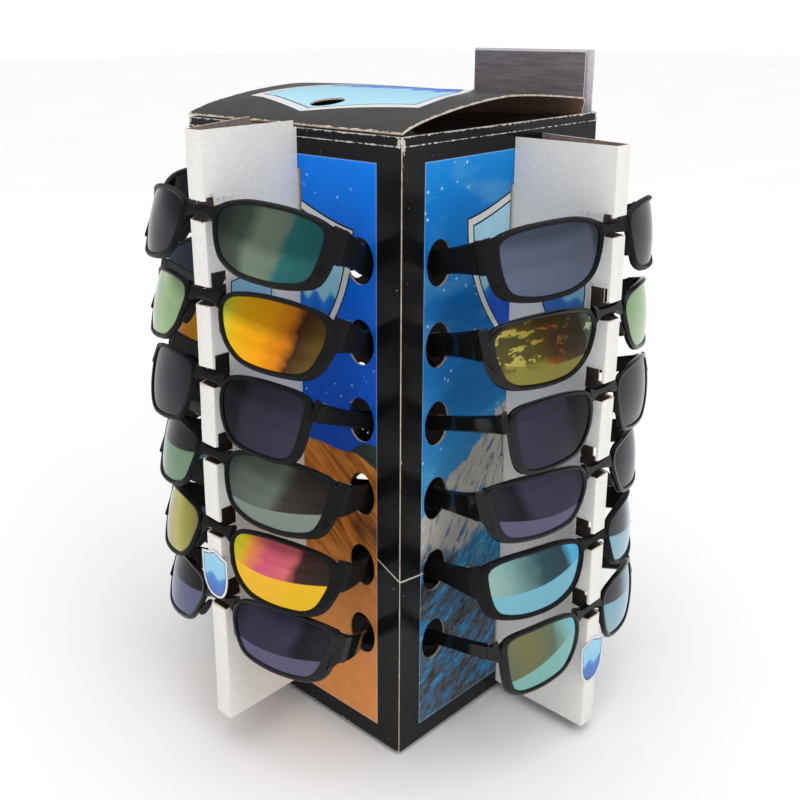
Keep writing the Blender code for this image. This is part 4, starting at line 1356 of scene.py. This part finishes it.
def set_stage():
    graph = Graph("floor_paint", specular=0.2)
    soft = graph.noise(graph.coords(), 3.0, 2.0)
    floor_paint = graph.finish(graph.mix(soft, srgb(240, 240, 240), srgb(246, 246, 246)), 0.9)
    bm = bmesh.new()
    bmesh.ops.create_grid(bm, x_segments=8, y_segments=8, size=9.0)
    floor = new_object("floor", bm, [floor_paint])
    world = bpy.data.worlds.new("studio")
    world.use_nodes = True
    bpy.context.scene.world = world
    tree = world.node_tree
    background = tree.nodes["Background"]
    direction = tree.nodes.new("ShaderNodeTexCoord")
    split = tree.nodes.new("ShaderNodeSeparateXYZ")
    tree.links.new(direction.outputs["Generated"], split.inputs[0])
    ramp = tree.nodes.new("ShaderNodeValToRGB")
    elements = ramp.color_ramp.elements
    levels = [(0.0, 1.04), (0.05, 0.96), (0.16, 0.44), (0.55, 0.38), (1.0, 2.2)]
    while len(elements) < len(levels):
        elements.new(0.5)
    for element, (position, level) in zip(elements, levels):
        element.position = position
        element.color = (level, level, level * 1.01, 1.0)
    tree.links.new(split.outputs[2], ramp.inputs[0])
    tree.links.new(ramp.outputs[0], background.inputs["Color"])
    target = (0.0, 0.0, 0.18)
    add_area("key", (-0.3, -2.0, 1.5), target, (1.2, 0.8), 11.0)
    add_area("fill", (-2.1, -0.4, 1.1), target, (1.0, 1.1), 6.0)
    bpy.context.scene.view_settings.view_transform = "Standard"


# ---------------------------------------------------------------- the whole object
def dress_nodes(steel, grey_card, black):
    """Materials for the CAD nodes that stay: the turntable's parts, the floor panel and one dust flap."""
    rubber = rubber_material()
    hardboard = board_material("hardboard", srgb(120, 84, 54), srgb(82, 54, 34), (1.0, 1.0, 1.0), 0.7)
    nylon = board_material("nylon", srgb(214, 212, 204), srgb(196, 192, 182), (1.0, 1.0, 1.0), 0.45)
    finishes = {"anti_slip_pad": rubber, "base_plate": hardboard, "rotor_plate": hardboard,
                "lower_race": steel,
                "upper_race": steel, "pivot_pin": steel, "pivot_washer": steel, "push_nut": steel,
                "ball_cage": nylon, "floor_panel": grey_card, "dust_flap_right": black}
    for number in range(1, 9):
        finishes["bearing_ball_%d" % number] = steel
    for node, material in finishes.items():
        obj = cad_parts[node]
        obj.data.materials.clear()
        obj.data.materials.append(material)


def main():
    stone = print_material("stone_print", True)
    peak = print_material("peak_print", False)
    inside = board_material("bare_board", srgb(172, 160, 156), srgb(134, 120, 116))
    cut_edge = board_material("cut_board", srgb(214, 208, 196), srgb(176, 160, 140), (1.0, 1.0, 1.0))
    white = board_material("white_card", srgb(236, 234, 230), srgb(228, 226, 221), (1.0, 1.0, 2.0), 0.62,
                           0.05)
    cream_edge = board_material("torn_edge", srgb(246, 240, 222), srgb(222, 210, 180), (1.0, 1.0, 1.0))
    grey_card = board_material("grey_card", srgb(136, 127, 129), srgb(118, 108, 110), (1.0, 0.15, 2.5), 0.8,
                               0.08)
    card_white = board_material("card_white", srgb(236, 236, 238), srgb(214, 214, 218), (1.0, 1.0, 3.0),
                                0.5)
    black = plain_print_material()

    build_sleeve(stone, peak, inside, cut_edge)
    kraft = board_material("kraft_underside", srgb(176, 146, 128), srgb(140, 112, 96))
    build_lid(lid_material(), kraft, cut_edge)
    build_raised_flap(black)
    build_header_card(banded_card_material(), card_white, card_white)
    blue = badge_field()
    dark = plain_print_material()
    pale = board_material("badge_border", srgb(232, 234, 236), srgb(206, 210, 214), (1.0, 1.0, 1.0), 0.4)
    for side in SIDES:
        build_fin(side, white, inside, cream_edge)
        build_badges(side, [pale, dark, blue])

    frames = {"matte": frame_material("matte_plastic", True),
              "gloss": frame_material("gloss_plastic", False)}
    lenses = {name: lens_material("lens_" + name, *values) for name, values in LENSES.items()}
    steel = metal_material("steel", srgb(170, 170, 172), 0.25)
    for side in SIDES:
        for row in range(ROWS):
            build_glasses(side, row, frames, lenses, steel)

    dress_nodes(steel, grey_card, black)
    set_camera()
    set_stage()


def badge_field():
    graph = Graph("badge_field", roughness=0.35, coat=0.1, specular=0.25)
    x, y, _ = graph.split(graph.coords())
    wave = graph.math("SINE", x * 520.0) * 0.0016
    level = y + wave
    colour = graph.ramp(level * 30.0 + 0.5, [(0.0, (8, 70, 160)), (0.36, (12, 104, 190)),
                                             (0.44, (30, 140, 208)), (0.48, (128, 194, 224)),
                                             (1.0, (150, 208, 232))])
    grain = graph.noise(graph.coords(), 900.0, 2.0)
    return graph.finish(graph.mix(grain * 0.12, colour, srgb(240, 244, 246)))


main()
